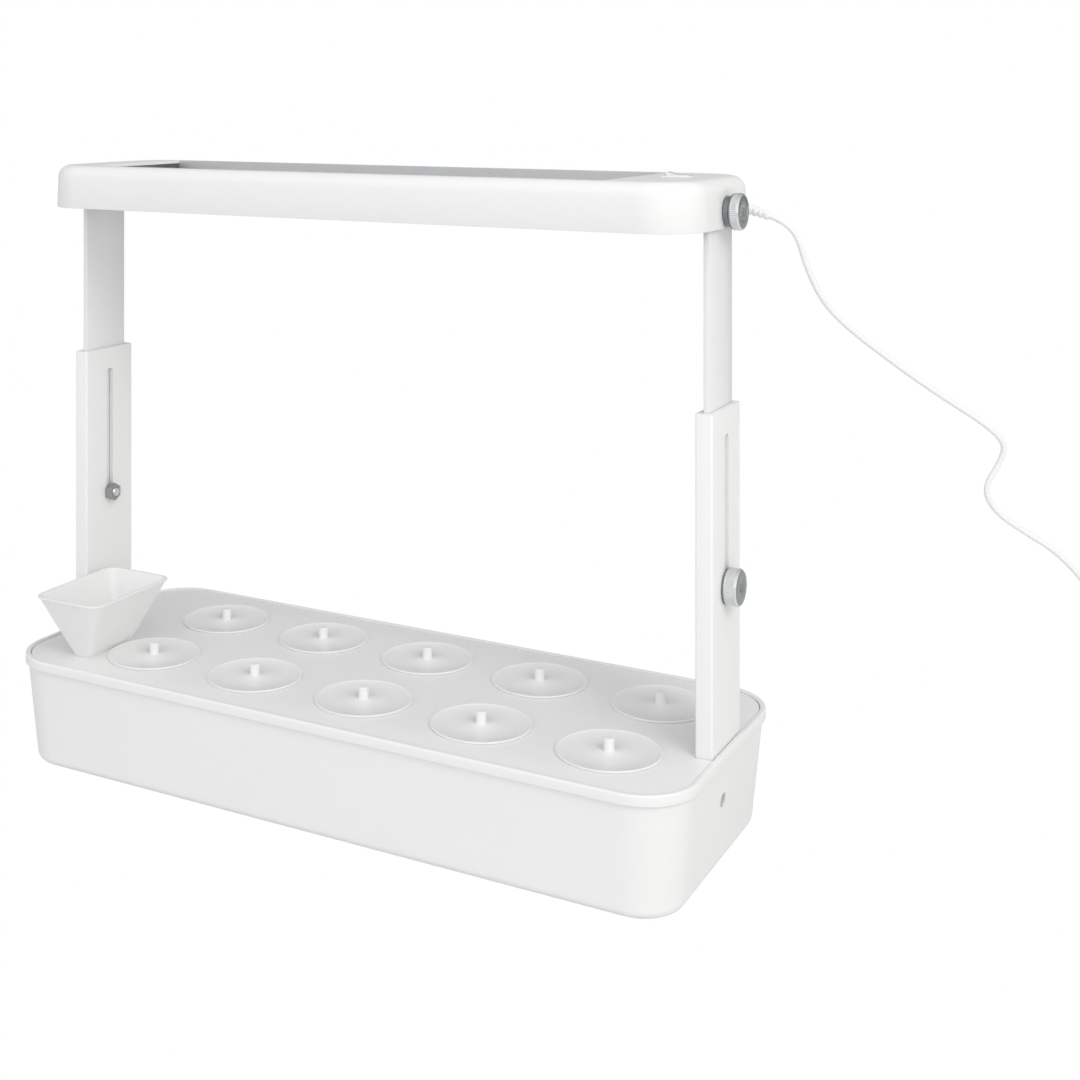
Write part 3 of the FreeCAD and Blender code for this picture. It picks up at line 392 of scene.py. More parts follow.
# %% Tank
low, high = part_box("tank")
TANK_HALF = (high[0], high[1])
TANK_TOP = high[2]
CORNER = 0.0425
COLLAR_HEIGHT, COLLAR_STEP = 0.0075, 0.0024
RIM_WIDTH, RIM_ROUND = 0.004, 0.0014
WALL, FLOOR = 0.0026, 0.003
DRAFT = math.tan(math.radians(6.0))
FOOT_ROUND, INNER_FOOT_ROUND = 0.008, 0.0055
SHELF_LEVEL, SHELF_WIDTH, SHELF_DEPTH = 0.0841, 0.0024, 0.003
SOCKET_BLOCK = (0.2696, 0.2830, 0.0325, 0.0577, SHELF_LEVEL)
PORT, PORT_RADIUS = Vector((0.270, -0.006, 0.051)), 0.005


def wall_inset(level):
    return COLLAR_STEP + (TANK_TOP - COLLAR_HEIGHT - level) * DRAFT


def foot(radius, floor, inset_at, steps):
    """The round between the floor and the leaning wall, from the floor up."""
    middle = inset_at(floor + radius) + radius / math.cos(math.atan(DRAFT))
    turn = np.linspace(0, math.pi / 2 - math.atan(DRAFT), steps + 1)
    inset, level = middle - radius * np.sin(turn), floor + radius * (1 - np.cos(turn))
    return list(zip(inset.tolist(), level.tolist()))


def tank_rows():
    """Up the outside, over the rim and down the inside, as (inset, level)."""
    under = TANK_TOP - COLLAR_HEIGHT
    lip = 0.0004
    inner = foot(INNER_FOOT_ROUND, FLOOR, lambda z: wall_inset(z) + WALL, 8)
    rows = foot(FOOT_ROUND, 0.0, wall_inset, 14)
    rows += [(COLLAR_STEP, under - 0.0003), (COLLAR_STEP - 0.0003, under), (lip, under)]
    rows += quarter_round((lip, under), (0.0, under + lip), 3, "last")[1:]
    rows += quarter_round((0.0, TANK_TOP - RIM_ROUND), (RIM_ROUND, TANK_TOP), 8)
    rows += quarter_round((RIM_WIDTH - lip, TANK_TOP), (RIM_WIDTH, TANK_TOP - lip), 3, "last")
    rows += [(RIM_WIDTH, SHELF_LEVEL), (RIM_WIDTH + SHELF_WIDTH, SHELF_LEVEL)]
    ledge = SHELF_LEVEL - SHELF_DEPTH
    rows += [(RIM_WIDTH + SHELF_WIDTH, ledge), (wall_inset(ledge) + WALL, ledge)]
    return rows + inner[::-1]


shells = [inset_rings(TANK_HALF, CORNER, tank_rows(), 24)]
shells += [end_block(side, *SOCKET_BLOCK) for side in (1, -1)]
tank = make_piece("water_tank", [(rings, False) for rings in shells], "tank")
cut_away(tank, [turned([(0.0, PORT_RADIUS), (0.030, PORT_RADIUS)], PORT, (1, 0, 0), 40)])
print("tank", len(tank.data.polygons), "faces")

# %% [markdown]
# ## Deck
#
# The deck is a flat plate that drops into the rim on its shelf, with a soft edge, a skirt below,
# ten stepped holes for the cups, a slot for the funnel's spout and a notch round each sleeve. The
# holes are cut with turned and boxed shapes, because they aren't rings of the outline.

# %% Deck
low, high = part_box("deck")
DECK_BOTTOM, DECK_TOP = low[2], high[2]
DECK_INSET = TANK_HALF[0] - high[0]
DECK_EDGE = 0.0008
POD_HOLE, POD_STEP, STEP_DEPTH = 0.0243, 0.0275, 0.0014
SPOUT_SLOT = (0.0075, 0.027, 0.003)
NOTCH = (0.2716, 0.2950, 0.0305)
SKIRT_OUTER, SKIRT_INNER = 0.0024, 0.0044
SKIRT_GATE = (0.2690, 0.2950, 0.0331)
PODS = [f"{row}_{k}" for row in ("front", "back") for k in range(1, 6)]


def middle_of(node):
    low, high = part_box(node)
    return ((low[0] + high[0]) / 2, (low[1] + high[1]) / 2)


def deck_cutters():
    """Stepped holes for the cups, a slot for the spout and a notch for each sleeve."""
    below = 0.01
    cutters = []
    for pod in PODS:
        x, y = middle_of(f"net_cup_{pod}")
        profile = [(-below, POD_HOLE), (-STEP_DEPTH, POD_HOLE), (-STEP_DEPTH, POD_STEP), (below, POD_STEP)]
        cutters.append(turned(profile, (x, y, DECK_TOP), (0, 0, 1), 64))
    x, y = middle_of("funnel")
    level = [SHELF_LEVEL - below, DECK_TOP + below]
    half_x, half_y, corner = SPOUT_SLOT
    cutters.append(outline([half_x] * 2, [half_y] * 2, [corner] * 2, level, (x, y), 6))
    return cutters + [end_block(side, *NOTCH, *level) for side in (-1, 1)]


def skirt_rings():
    """A closed band round the underside: outer face up, inner face down."""
    outer, inner = DECK_INSET + SKIRT_OUTER, DECK_INSET + SKIRT_INNER
    bottom, top = DECK_BOTTOM, SHELF_LEVEL + 0.0002
    return inset_rings(TANK_HALF, CORNER, [(outer, bottom), (outer, top), (inner, top), (inner, bottom)])


plate = [(DECK_INSET, SHELF_LEVEL)]
plate += quarter_round((DECK_INSET, DECK_TOP - DECK_EDGE), (DECK_INSET + DECK_EDGE, DECK_TOP), 5)
deck = make_piece("planting_deck", [(inset_rings(TANK_HALF, CORNER, plate, 24), False)], "deck")
cut_away(deck, deck_cutters())
skirt = make_piece("deck_skirt", [(skirt_rings(), True)], "deck")
gate_levels = (DECK_BOTTOM - 0.001, SHELF_LEVEL + 0.001)
cut_away(skirt, [end_block(side, *SKIRT_GATE, *gate_levels) for side in (-1, 1)])
print("deck", len(deck.data.polygons), "faces")

# %% [markdown]
# ## Lids
#
# Each pod has a thin round lid with a raised rim and a peg to lift it by. It is a turned piece: the
# profile goes out along the underside, round the edge, over the rim and down into the dish, then up
# the peg. The rim's small round is what catches the light as a bright line.

# %% Lids
LID_DISH = 0.0005
RIM_RUN = 0.0021
PEG_RADIUS, PEG_ROUND = 0.0038, 0.0007


def lid_profile(radius, height, thickness=0.0015):
    """(height, radius) pairs from the underside's middle to the peg's top."""
    turn = np.linspace(0, math.pi / 2, 7)
    edge = 0.0005
    dish = thickness - LID_DISH
    rows = [(0.0, 0.0002), (0.0, radius - edge)]
    rows += [(edge * (1 - math.cos(a)), radius - edge * (1 - math.sin(a))) for a in turn[1:]]
    rows += [(thickness - edge * (1 - math.sin(a)), radius - edge * (1 - math.cos(a))) for a in turn]
    rows += [(thickness, radius - RIM_RUN), (thickness - 0.0002, radius - RIM_RUN - 0.0003)]
    rows += [(dish, radius - RIM_RUN - 0.0010), (dish, PEG_RADIUS + 0.0006)]
    rows += [(dish + 0.0002, PEG_RADIUS + 0.0002), (dish + 0.0006, PEG_RADIUS)]
    top = height - PEG_ROUND
    rows += [(top + PEG_ROUND * math.sin(a), PEG_RADIUS - PEG_ROUND * (1 - math.cos(a))) for a in turn]
    return rows + [(height, 0.0002)]


for pod in PODS:
    low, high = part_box(f"lid_{pod}")
    radius = (high[1] - low[1]) / 2
    rings = turned(lid_profile(radius, high[2] - low[2]), (*middle_of(f"lid_{pod}"), low[2]), (0, 0, 1), 96)
    make_piece(f"pod_lid_{pod}", [(rings, False)], f"lid_{pod}", 50.0)
print(len(PODS), "lids of radius", round(radius * 1000, 1), "mm")

# %% [markdown]
# ## Net cups
#
# A planting cup is a thin tapered bucket that hangs by its flange in the deck's stepped hole. Roots
# grow out through slots in its wall and holes in its floor. The bucket is turned, and a ring of
# upright bars is cut out of it. One mesh is made in the middle and copied to the ten places.

# %% Net cups
CUP_RADIUS, CUP_LOW_RADIUS, CUP_WALL = 0.0236, 0.0176, 0.0014
FLANGE_RADIUS, FLANGE_DEPTH = 0.0265, 0.0012
CUP_SLOTS, SLOT_WIDTH = 16, 0.0034
CUP_BANDS = [(0.006, 0.020), (0.0225, 0.0365)]
WALL_REACH = (0.0120, 0.0300)
FLOOR_REACH, FLOOR_SLOT_WIDTH = (0.0040, 0.0140), 0.0026


def cup_profile(depth):
    """(height, radius) pairs from the underside's middle, up the outside and down the inside."""
    under = depth - FLANGE_DEPTH
    rows = [(0.0, 0.0002), (0.0, CUP_LOW_RADIUS - 0.0015), (0.0005, CUP_LOW_RADIUS - 0.0004)]
    rows += [(0.0015, CUP_LOW_RADIUS), (under, CUP_RADIUS), (under, FLANGE_RADIUS - 0.0003)]
    rows += [(under + 0.0003, FLANGE_RADIUS), (depth - 0.0004, FLANGE_RADIUS)]
    rows += [(depth, FLANGE_RADIUS - 0.0004), (depth, CUP_RADIUS - CUP_WALL)]
    return rows + [(CUP_WALL, CUP_LOW_RADIUS - CUP_WALL), (CUP_WALL, 0.0002)]


def spoke(angle, inner, outer, width, low, high):
    """An upright block that points outward at an angle, as two rings."""
    corner = np.array([(inner, -width / 2), (outer, -width / 2), (outer, width / 2), (inner, width / 2)])
    turn = np.array([(math.cos(angle), math.sin(angle)), (-math.sin(angle), math.cos(angle))])
    return np.stack([np.column_stack([corner @ turn, np.full(4, z)]) for z in (low, high)])


def make_cups():
    """One slotted cup at the middle, copied to every pod's place."""
    low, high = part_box("net_cup_front_1")
    depth = high[2] - low[2]
    rings = turned(cup_profile(depth), (0, 0, 0), (0, 0, 1), 96)
    first = make_piece("cup pattern", [(rings, False)], "net_cup_front_1")
    angles = [2 * math.pi * k / CUP_SLOTS for k in range(CUP_SLOTS)]
    cutters = [spoke(a, *WALL_REACH, SLOT_WIDTH, *band) for a in angles for band in CUP_BANDS]
    cutters += [spoke(a, *FLOOR_REACH, FLOOR_SLOT_WIDTH, -0.001, 0.003) for a in angles[::2]]
    cut_away(first, cutters)
    pattern = first.data
    bpy.data.objects.remove(first)
    for pod in PODS:
        mesh = pattern.copy()
        mesh.transform(Matrix.Translation((*middle_of(f"net_cup_{pod}"), low[2])))
        finish_piece(new_object(f"planting_cup_{pod}", mesh), f"net_cup_{pod}")
    return pattern


print("cup", len(make_cups().polygons), "faces")

# %% [markdown]
# ## Funnel
#
# The filling funnel is a thin hopper with a rectangular mouth, a small lip round it and a short
# spout that plugs into the deck. Its rings change from the small base to the large mouth, first
# outside and up, then over the lip and back down inside.

# %% Funnel
FUNNEL_WALL = 0.0016
LIP_WIDTH, LIP_HEIGHT = 0.0012, 0.0014
FUNNEL_BASE = (0.0085, 0.0280, 0.0040)
SPOUT_INSET, MOUTH_CORNER = 0.0015, 0.011


def funnel_rings():
    """Rings of (half length, half width, corner) up the outside, over the lip and down the inside."""
    low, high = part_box("funnel")
    centre = middle_of("funnel")
    seat = DECK_TOP + 0.0001
    base = np.array(FUNNEL_BASE)
    spout = base - SPOUT_INSET
    mouth = np.array(((high[0] - low[0]) / 2, (high[1] - low[1]) / 2, MOUTH_CORNER))
    cone = mouth - LIP_WIDTH
    edge, top = 0.0005, high[2]
    rows = [(spout, low[2]), (spout, seat), (base, seat), (cone, top - LIP_HEIGHT)]
    rows += [(mouth - 0.0002, top - LIP_HEIGHT), (mouth, top - LIP_HEIGHT + 0.0003)]
    rows += [(mouth - edge * (1 - math.cos(a)), top - edge * (1 - math.sin(a))) for a in (0, 0.5, 1.05, 1.57)]
    rows += [(cone - FUNNEL_WALL + 0.0004, top), (cone - FUNNEL_WALL, top - 0.0004)]
    rows += [(spout - FUNNEL_WALL, seat), (spout - FUNNEL_WALL, low[2])]
    sizes = np.array([size for size, _ in rows])
    levels = np.array([level for _, level in rows])
    return outline(sizes[:, 0], sizes[:, 1], sizes[:, 2], levels, centre, 12)


funnel = make_piece("filling_funnel", [(funnel_rings(), True)], "funnel", 25.0)
print("funnel", len(funnel.data.polygons), "faces")

# %% [markdown]
# ## Sleeves and bars
#
# Each sleeve is a flat extruded tube with round edges, a slot in both faces for the clamping stud
# and a tongue in the tank. Each bar is a flat painted plate with round top corners and a small
# round on every edge. Both are rings again: the sleeve's run up outside and down inside, and the
# bar's are laid across its thickness.

# %% Sleeves and bars
SLOT_RADIUS = 0.00425
SLOT_LOW, SLOT_HIGH = 0.1995, 0.3025
PIVOT_Z = 0.463
BORE = 0.0041
SLEEVE_CORNER, SLEEVE_ROOM = 0.0016, (0.0026, 0.02515, 0.0004)
TONGUE_HALF = (0.0028, 0.0248)
BAR_CORNER = 0.0105


def across(rings, x=0.0):
    """Rings drawn flat, turned to stand across X: (a, b, c) becomes (x + c, b, a)."""
    return np.stack([x + rings[..., 2], rings[..., 1], rings[..., 0]], axis=-1)


def make_sleeve(side):
    """A tube that is solid below its room, with a tongue under it and a slot through both faces."""
    low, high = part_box(f"{side}_sleeve")
    centre = ((low[0] + high[0]) / 2, 0.0)
    half = ((high[0] - low[0]) / 2, (high[1] - low[1]) / 2)
    bottom, top, edge = SHELF_LEVEL, high[2], 0.0004
    outer = [(0.0, bottom), (0.0, top - edge), (0.00012, top - edge / 3), (edge, top)]
    rings = [outline(half[0] - i, half[1] - i, SLEEVE_CORNER - i, z, centre, 8)[0] for i, z in outer]
    rings += [outline(*SLEEVE_ROOM, z, centre, 8)[0] for z in (top, bottom + 0.016)]
    thick, wide = TONGUE_HALF
    tongue = block(centre[0] - thick, centre[0] + thick, -wide, wide, low[2], bottom + 0.001)
    shells = [(np.stack(rings), False), (tongue, False)]
    sleeve = make_piece(f"{side}_clamp_sleeve", shells, f"{side}_sleeve")
    half_slot = (SLOT_HIGH - SLOT_LOW) / 2 + SLOT_RADIUS
    middle = (SLOT_LOW + SLOT_HIGH) / 2
    reach = np.array((-0.01, 0.01)) + centre[0]
    flat = outline([half_slot] * 2, [SLOT_RADIUS] * 2, [SLOT_RADIUS - 1e-5] * 2, reach, (middle, 0.0), 16)
    cut_away(sleeve, [across(flat)])
    return sleeve


def make_bar(side):
    """A flat plate with round corners and a bore for each of its two studs."""
    low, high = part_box(f"{side}_bar")
    half_z, half_y = (high[2] - low[2]) / 2, (high[1] - low[1]) / 2
    edge = 0.0004
    inset = np.array([edge, edge * 0.3, 0.0, 0.0, edge * 0.3, edge])
    reach = np.array([low[0], low[0] + edge * 0.3, low[0] + edge])
    reach = np.concatenate([reach, low[0] + high[0] - reach[::-1]])
    middle = ((low[2] + high[2]) / 2, 0.0)
    flat = outline(half_z - inset, half_y - inset, BAR_CORNER - inset, reach, middle, 12)
    bar = make_piece(f"{side}_lamp_bar", [(across(flat), False)], f"{side}_bar")
    holes = [(SLOT_LOW, BORE), (PIVOT_Z, BORE)]
    cut_away(bar, [turned([(-0.01, r), (0.02, r)], (low[0], 0, z), (1, 0, 0), 32) for z, r in holes])
    return bar


for side in ("left", "right"):
    print(side, len(make_sleeve(side).data.polygons), len(make_bar(side).data.polygons), "faces")

# %% [markdown]
# ## Clamping knobs
#
# The knobs are plated steel with a fine straight knurl, a polished bevel round the outer end, and a
# darker end face with a shallow dimple. The knurl is a wave round the barrel: the radius falls by
# the depth times a smoothed cosine of the angle, and fades out at both ends of the barrel.

# %% Knobs
KNURLS, KNURL_DEPTH = 60, 0.00028
BEVEL = 0.0011
DIMPLE_RADIUS, DIMPLE_DEPTH = 0.0030, 0.0010
CAP = 0.0026
WASHER = 0.0013


def knob_profile(length, radius):
    """(along, radius) pairs: from the blind bore's end out, over the barrel and in across the face."""
    rows = [(length - CAP, 0.0002), (length - CAP, BORE), (0.0004, BORE), (0.0, BORE + 0.0004)]
    rows += [(0.0, radius - 0.0009), (0.0003, radius - 0.0005), (WASHER, radius - 0.0005)]
    rows += [(WASHER, radius - 0.0003)]
    rows += [(s, radius) for s in np.linspace(WASHER + 0.0003, length - BEVEL - 0.0003, 12)]
    rows += [(length - BEVEL, radius - 0.0001), (length - BEVEL + 0.0001, radius - 0.0003)]
    rows += [(length - 0.0001, radius - BEVEL - 0.0001), (length, radius - BEVEL - 0.0003)]
    rows += [(length, DIMPLE_RADIUS + 0.0003), (length - 0.0002, DIMPLE_RADIUS)]
    return rows + [(length - DIMPLE_DEPTH, 0.0009), (length - DIMPLE_DEPTH - 0.0001, 0.0002)]


def make_knob(node):
    """A knurled knob with its own finish on the end face and the bevel, and painted shade on its inner end.
    """
    low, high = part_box(node)
    outward = 1 if low[0] > 0 else -1
    start = low[0] if outward > 0 else high[0]
    length, radius = high[0] - low[0], (high[1] - low[1]) / 2
    height = (low[2] + high[2]) / 2

    def knurl(along, angle):
        fade = np.clip((along - WASHER - 0.0003) / 0.0006, 0, 1)
        fade *= np.clip((length - BEVEL - 0.0003 - along) / 0.0006, 0, 1)
        return -KNURL_DEPTH * fade * (0.5 - 0.5 * np.cos(KNURLS * angle)) ** 0.7

    rings = turned(knob_profile(length, radius), (start, 0, height), (outward, 0, 0), KNURLS * 6, knurl)
    knob = make_piece(f"{node}_turned", [(rings, False)], node, 40.0)
    for extra in (KNOB_FACE, BRIGHT_EDGE, DARK_SPACER_AND_GAP_SHADE):
        knob.data.materials.append(extra)
    centres = np.empty(len(knob.data.polygons) * 3)
    knob.data.polygons.foreach_get("center", centres)
    centres = centres.reshape(-1, 3)
    along = abs(centres[:, 0] - start)
    spread = np.hypot(centres[:, 1], centres[:, 2] - height)
    on_face = (along > length - DIMPLE_DEPTH - 0.0003) & (spread < radius - BEVEL - 0.0001)
    on_bevel = (along > length - BEVEL) & ~on_face
    # the washer step at the inner end gets the dark finish: painted shade of the gap against the sleeve
    on_washer_gap_shade = (along < WASHER + 0.00005) & (spread > BORE)
    index = on_face * 1 + on_bevel * 2 + on_washer_gap_shade * 3
    knob.data.polygons.foreach_set("material_index", index.astype(np.int32))
    return knob


for node in [n for n in nodes if n.endswith("_knob")]:
    print(node, len(make_knob(node).data.polygons), "faces")

# %% [markdown]
# ## Lamp housing
#
# The hood is one shallow moulding, open below: a wall that leans in a little, long rounded top
# edges, and a flat top with a recess for the heat sink. Its profile runs down the inside and up the
# outside. Two bulkheads close the light box, and round bosses stand between each bar and the end
# wall. The switch, the strain relief and the studs need holes.

# %% Lamp housing
low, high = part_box("lamp_housing")
HOOD_HALF = (high[0], high[1])
HOOD_BOTTOM, HOOD_TOP = 0.4513, high[2]
HOOD_CORNER, HOOD_ROUND, HOOD_WALL = 0.039, 0.010, 0.0025
HOOD_DRAFT = math.tan(math.radians(2.0))
LIGHT_BOX_HALF, BULKHEAD = 0.264, 0.002
BULKHEAD_ROWS = [(0.4540, 0.0700), (0.4700, 0.0700), (0.4760, 0.0690), (0.4800, 0.0665), (0.4830, 0.0620)]
BOSS_RADIUS, BOSS_START, BOSS_LENGTH = 0.0125, 0.2808, 0.0038
SPACER_SEAT_RADIUS, SPACER_SEAT = 0.0127, 0.2850
RECESS_FLOOR, SWITCH_HOLE_FLOOR, ABOVE_HOOD = 0.4735, 0.4725, 0.49
SWITCH_HOLE_HALF = (0.0098, 0.0066)
RELIEF = Vector((0.285, 0.025, 0.466))
RELIEF_HOLE_RADIUS = 0.00425


def hood_inset(level):
    return (level - HOOD_BOTTOM) * HOOD_DRAFT


def hood_rows():
    """Down the inside from the ceiling and up the outside to the flat top, as (inset, level)."""
    low_turn = HOOD_TOP - HOOD_ROUND
    start = (hood_inset(low_turn), low_turn)
    outside = quarter_round(start, (start[0] + HOOD_ROUND, HOOD_TOP), 14)
    turn = (start[0] + HOOD_WALL, low_turn)
    inside = quarter_round(turn, (turn[0] + HOOD_ROUND - HOOD_WALL, HOOD_TOP - HOOD_WALL), 8)
    rim = 0.0005
    rows = inside[::-1] + [(HOOD_WALL, HOOD_BOTTOM)]
    rows += [(rim, HOOD_BOTTOM), (rim * 0.3, HOOD_BOTTOM + rim * 0.3), (0.0, HOOD_BOTTOM + rim)]
    return rows + outside


def bulkhead(side):
    """A thin upright wall across the hood that ends inside the hood's own wall."""
    level, reach = np.array(BULKHEAD_ROWS).T
    middle = side * (LIGHT_BOX_HALF + BULKHEAD / 2)
    half, corner = np.full(len(level), BULKHEAD / 2), np.full(len(level), 0.0002)
    return outline(half, reach, corner, level, (middle, 0.0), 1)


def pivot_rod(side, start, length, radius, sides):
    """A round rod outward along the pivot's line."""
    return turned([(0.0, radius), (length, radius)], (side * start, 0, PIVOT_Z), (side, 0, 0), sides)


def hood_cutters():
    """The heat sink's recess, the switch's hole, the relief's hole, the stud holes and spacer seats."""
    sink_low, sink_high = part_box("heat_sink")
    switch_low, switch_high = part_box("switch_frame")
    gap = 0.00025
    recess = (sink_low[0] - gap, sink_high[0] + gap, sink_low[1] - gap, sink_high[1] + gap)
    cutters = [block(*recess, RECESS_FLOOR, ABOVE_HOOD)]
    middle = (switch_low[0] + switch_high[0]) / 2
    half_x, half_y = SWITCH_HOLE_HALF
    hole = (middle - half_x, middle + half_x, -half_y, half_y)
    cutters.append(block(*hole, SWITCH_HOLE_FLOOR, ABOVE_HOOD))
    profile = [(0.0, RELIEF_HOLE_RADIUS), (0.010, RELIEF_HOLE_RADIUS)]
    cutters.append(turned(profile, RELIEF - Vector((0.006, 0, 0)), (1, 0, 0), 32))
    for side in (-1, 1):
        cutters.append(pivot_rod(side, 0.272, 0.020, BORE, 32))
        cutters.append(pivot_rod(side, SPACER_SEAT, 0.010, SPACER_SEAT_RADIUS, 48))
    return cutters


rings = inset_rings(HOOD_HALF, HOOD_CORNER, hood_rows(), 24)
hood = make_piece("lamp_hood", [(rings, False)], "lamp_housing", 28.0)
cut_away(hood, hood_cutters(), 28.0)
make_piece("hood_bulkheads", [(bulkhead(side), False) for side in (-1, 1)], "lamp_housing")
rods = [(pivot_rod(side, BOSS_START, BOSS_LENGTH, BOSS_RADIUS, 48), False) for side in (-1, 1)]
bosses = make_piece("hood_bosses", rods, "lamp_housing")
cut_away(bosses, [turned([(-0.3, BORE), (0.3, BORE)], (0, 0, PIVOT_Z), (1, 0, 0), 32)])
print("hood", len(hood.data.polygons), "faces")

# %% [markdown]
# ## Small hard pieces
#
# The rest have the right shape already, and lack only their small rounds. A merged copy of the
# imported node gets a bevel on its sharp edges, with smooth shading in between.

# %% Rounded copies
def rounded(node, width, segments=3):
    """A merged copy of a node with its sharp edges rounded."""
    mesh = nodes[node].data.copy()
    shape = bmesh.new()
    shape.from_mesh(mesh)
    bmesh.ops.remove_doubles(shape, verts=shape.verts, dist=1e-6)
    bmesh.ops.dissolve_limit(
        shape, angle_limit=math.radians(0.5), verts=shape.verts, edges=shape.edges, delimit={"MATERIAL"}
    )
    shape.to_mesh(mesh)
    shape.free()
    piece = new_object(f"{node}_rounded", mesh)
    bevel = piece.modifiers.new("edges", "BEVEL")
    bevel.width = width
    bevel.segments = segments
    bevel.limit_method = "ANGLE"
    bevel.angle_limit = math.radians(30)
    bevel.harden_normals = False
    finish_piece(piece, node)
    return piece


WIDTHS = {
    "heat_sink": 0.0002, "diffuser": 0.0003, "led_board": 0.0002, "leds": 0.0001, "led_driver": 0.0006,
    "switch_frame": 0.0003, "switch_rocker": 0.0005, "cord_tie": 0.0002,
}
WIDTHS.update({f"{side}_{place}_nut": 0.0003 for side in ("left", "right") for place in ("height", "pivot")})
copies = {node: rounded(node, width) for node, width in WIDTHS.items()}
NUT_STEEL = brushed("dull zinc", (0.40, 0.42, 0.42), 0.36, (900.0, 900.0, 6000.0))
for node in [n for n in copies if n.endswith("_nut")]:
    copies[node].data.materials[0] = NUT_STEEL
print(len(copies), "rounded copies")


# %% [markdown]
# ## Studs and spacers
#
# Both are round, so they are turned again. A stud's radius rises and falls once per pitch, like its
# thread seen from the side. A spacer is a short ring with a small bevel at both ends.

# %% Studs and spacers
STUD_RADIUS, SPACER_RADIUS = 0.0039, 0.0110


def threaded(length, radius, pitch=0.00125):
    """A rod whose radius rises and falls once per pitch."""
    s = np.linspace(0.0008, length - 0.0008, int(length / pitch * 8))
    wave = 0.5 - 0.5 * np.cos(2 * math.pi * (s - 0.0008) / pitch)
    rows = [(0.0, 0.0002), (0.0, radius - 0.0008)]
    rows += list(zip(s.tolist(), (radius - 0.0005 * wave).tolist()))
    return rows + [(length, radius - 0.0008), (length, 0.0002)]


for side in ("left", "right"):
    for place in ("height", "pivot"):
        node = f"{side}_{place}_stud"
        low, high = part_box(node)
        start = (low[0], 0, (low[2] + high[2]) / 2)
        rings = turned(threaded(high[0] - low[0], STUD_RADIUS), start, (1, 0, 0), 32)
        make_piece(f"{node}_threaded", [(rings, False)], node)
    low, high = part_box(f"{side}_pivot_spacer")
    radius, length, edge = SPACER_RADIUS, high[0] - low[0], 0.0004
    profile = [(0.0, BORE), (0.0, radius - edge), (edge, radius), (length - edge, radius)]
    profile += [(length, radius - edge), (length, BORE)]
    rings = turned(profile, (low[0], 0, PIVOT_Z), (1, 0, 0), 64)
    spacer = make_piece(f"{side}_pivot_collar", [(rings, True)], f"{side}_pivot_spacer")
    spacer.data.materials[0] = DARK_SPACER_AND_GAP_SHADE
print("studs and spacers done")

# %% [markdown]
# ## Cord
#
# The lead leaves the strain relief, turns down under its own weight, runs back and to the right,
# folds once and goes out of the picture. On the floor it joins a tied coil of four turns in two
# layers: in on the floor and out on top.
#
# $$r(t) = R - p\,t \ \ (t \le 2), \qquad r(t) = R - p\,(4 - t) \ \ (t > 2)$$

# %% Cord
DIAMETER = 0.0042
DROOP = math.radians(17.0)
AIM = Vector((math.cos(DROOP), 0.0, -math.sin(DROOP)))
RELIEF_LENGTH = 0.024
ROUTE = [
    (0.3267, 0.0303, 0.4455), (0.3308, 0.0374, 0.4229), (0.3390, 0.0520, 0.3960),
    (0.3530, 0.0710, 0.3760), (0.3710, 0.0910, 0.3570), (0.3900, 0.1110, 0.3380),
    (0.4110, 0.1320, 0.3190), (0.4300, 0.1510, 0.3030), (0.4450, 0.1650, 0.2860),
    (0.4400, 0.1660, 0.2700), (0.4290, 0.1620, 0.2510), (0.4360, 0.1690, 0.2330),
    (0.4530, 0.1830, 0.2180), (0.4760, 0.2020, 0.2000), (0.4970, 0.2210, 0.1700),
    (0.5070, 0.2370, 0.1370), (0.5050, 0.2410, 0.1030), (0.5000, 0.2445, 0.0700),
    (0.4950, 0.2470, 0.0420), (0.4925, 0.2488, 0.0210), (0.4980, 0.2500, 0.0075),
    (0.5148, 0.2500, 0.0027),
]
COIL = Vector((0.531, 0.279, 0.00272))
COIL_RADIUS, COIL_PITCH, COIL_TURNS = 0.029, 0.0049, 4
PLUG = Vector((0.555, 0.242, 0.00486))


def coil_points(per_turn=16):
    """Control points of the spiral: in on the floor, up one layer in half a turn, out on top."""
    t = np.arange(0, COIL_TURNS * per_turn + 1) / per_turn
    half = COIL_TURNS / 2
    radius = COIL_RADIUS - COIL_PITCH * np.minimum(t, COIL_TURNS - t)
    climb = np.clip((t - half) / 0.5, 0.0, 1.0)
    height = COIL.z + COIL_PITCH * climb * climb * (3 - 2 * climb)
    # a quadratic spline runs inside its control polygon by half the sagitta
    radius = radius * 2 / (1 + math.cos(math.pi / per_turn) ** 2)
    angle = 2 * math.pi * (t - 0.25)
    return np.stack([COIL.x + radius * np.cos(angle), COIL.y + radius * np.sin(angle), height], axis=1)


def nurbs(name, points):
    """A smooth open curve with the points as control points, clamped at both ends."""
    curve = bpy.data.curves.new(name, "CURVE")
    curve.dimensions = "3D"
    curve.resolution_u = 6
    curve.bevel_resolution = 4
    curve.use_fill_caps = True
    spline = curve.splines.new("NURBS")
    spline.points.add(len(points) - 1)
    for target, point in zip(spline.points, points):
        target.co = (*point, 1.0)
    spline.order_u = 3
    spline.use_endpoint_u = True
    return new_object(name, curve)


def to_mesh(piece, name):
    """A mesh copy of a curve as it shows, with smooth faces."""
    depsgraph = bpy.context.evaluated_depsgraph_get()
    mesh = bpy.data.meshes.new_from_object(piece.evaluated_get(depsgraph))
    mesh.name = name
    mesh.shade_smooth()
    return new_object(name, mesh)


def cord_controls():
    """Control points from the relief's tip along the route, round the coil and into the plug."""
    start = RELIEF + AIM * RELIEF_LENGTH
    points = [tuple(start), tuple(start + AIM * 0.010)] + ROUTE
    points += [tuple(p) for p in coil_points()]
    points += [(COIL.x + 0.009, COIL.y - COIL_RADIUS - 0.001, COIL.z + 0.0046)]
    points += [(PLUG.x - 0.009, PLUG.y + 0.0006, PLUG.z + 0.0003), tuple(PLUG)]
    return points


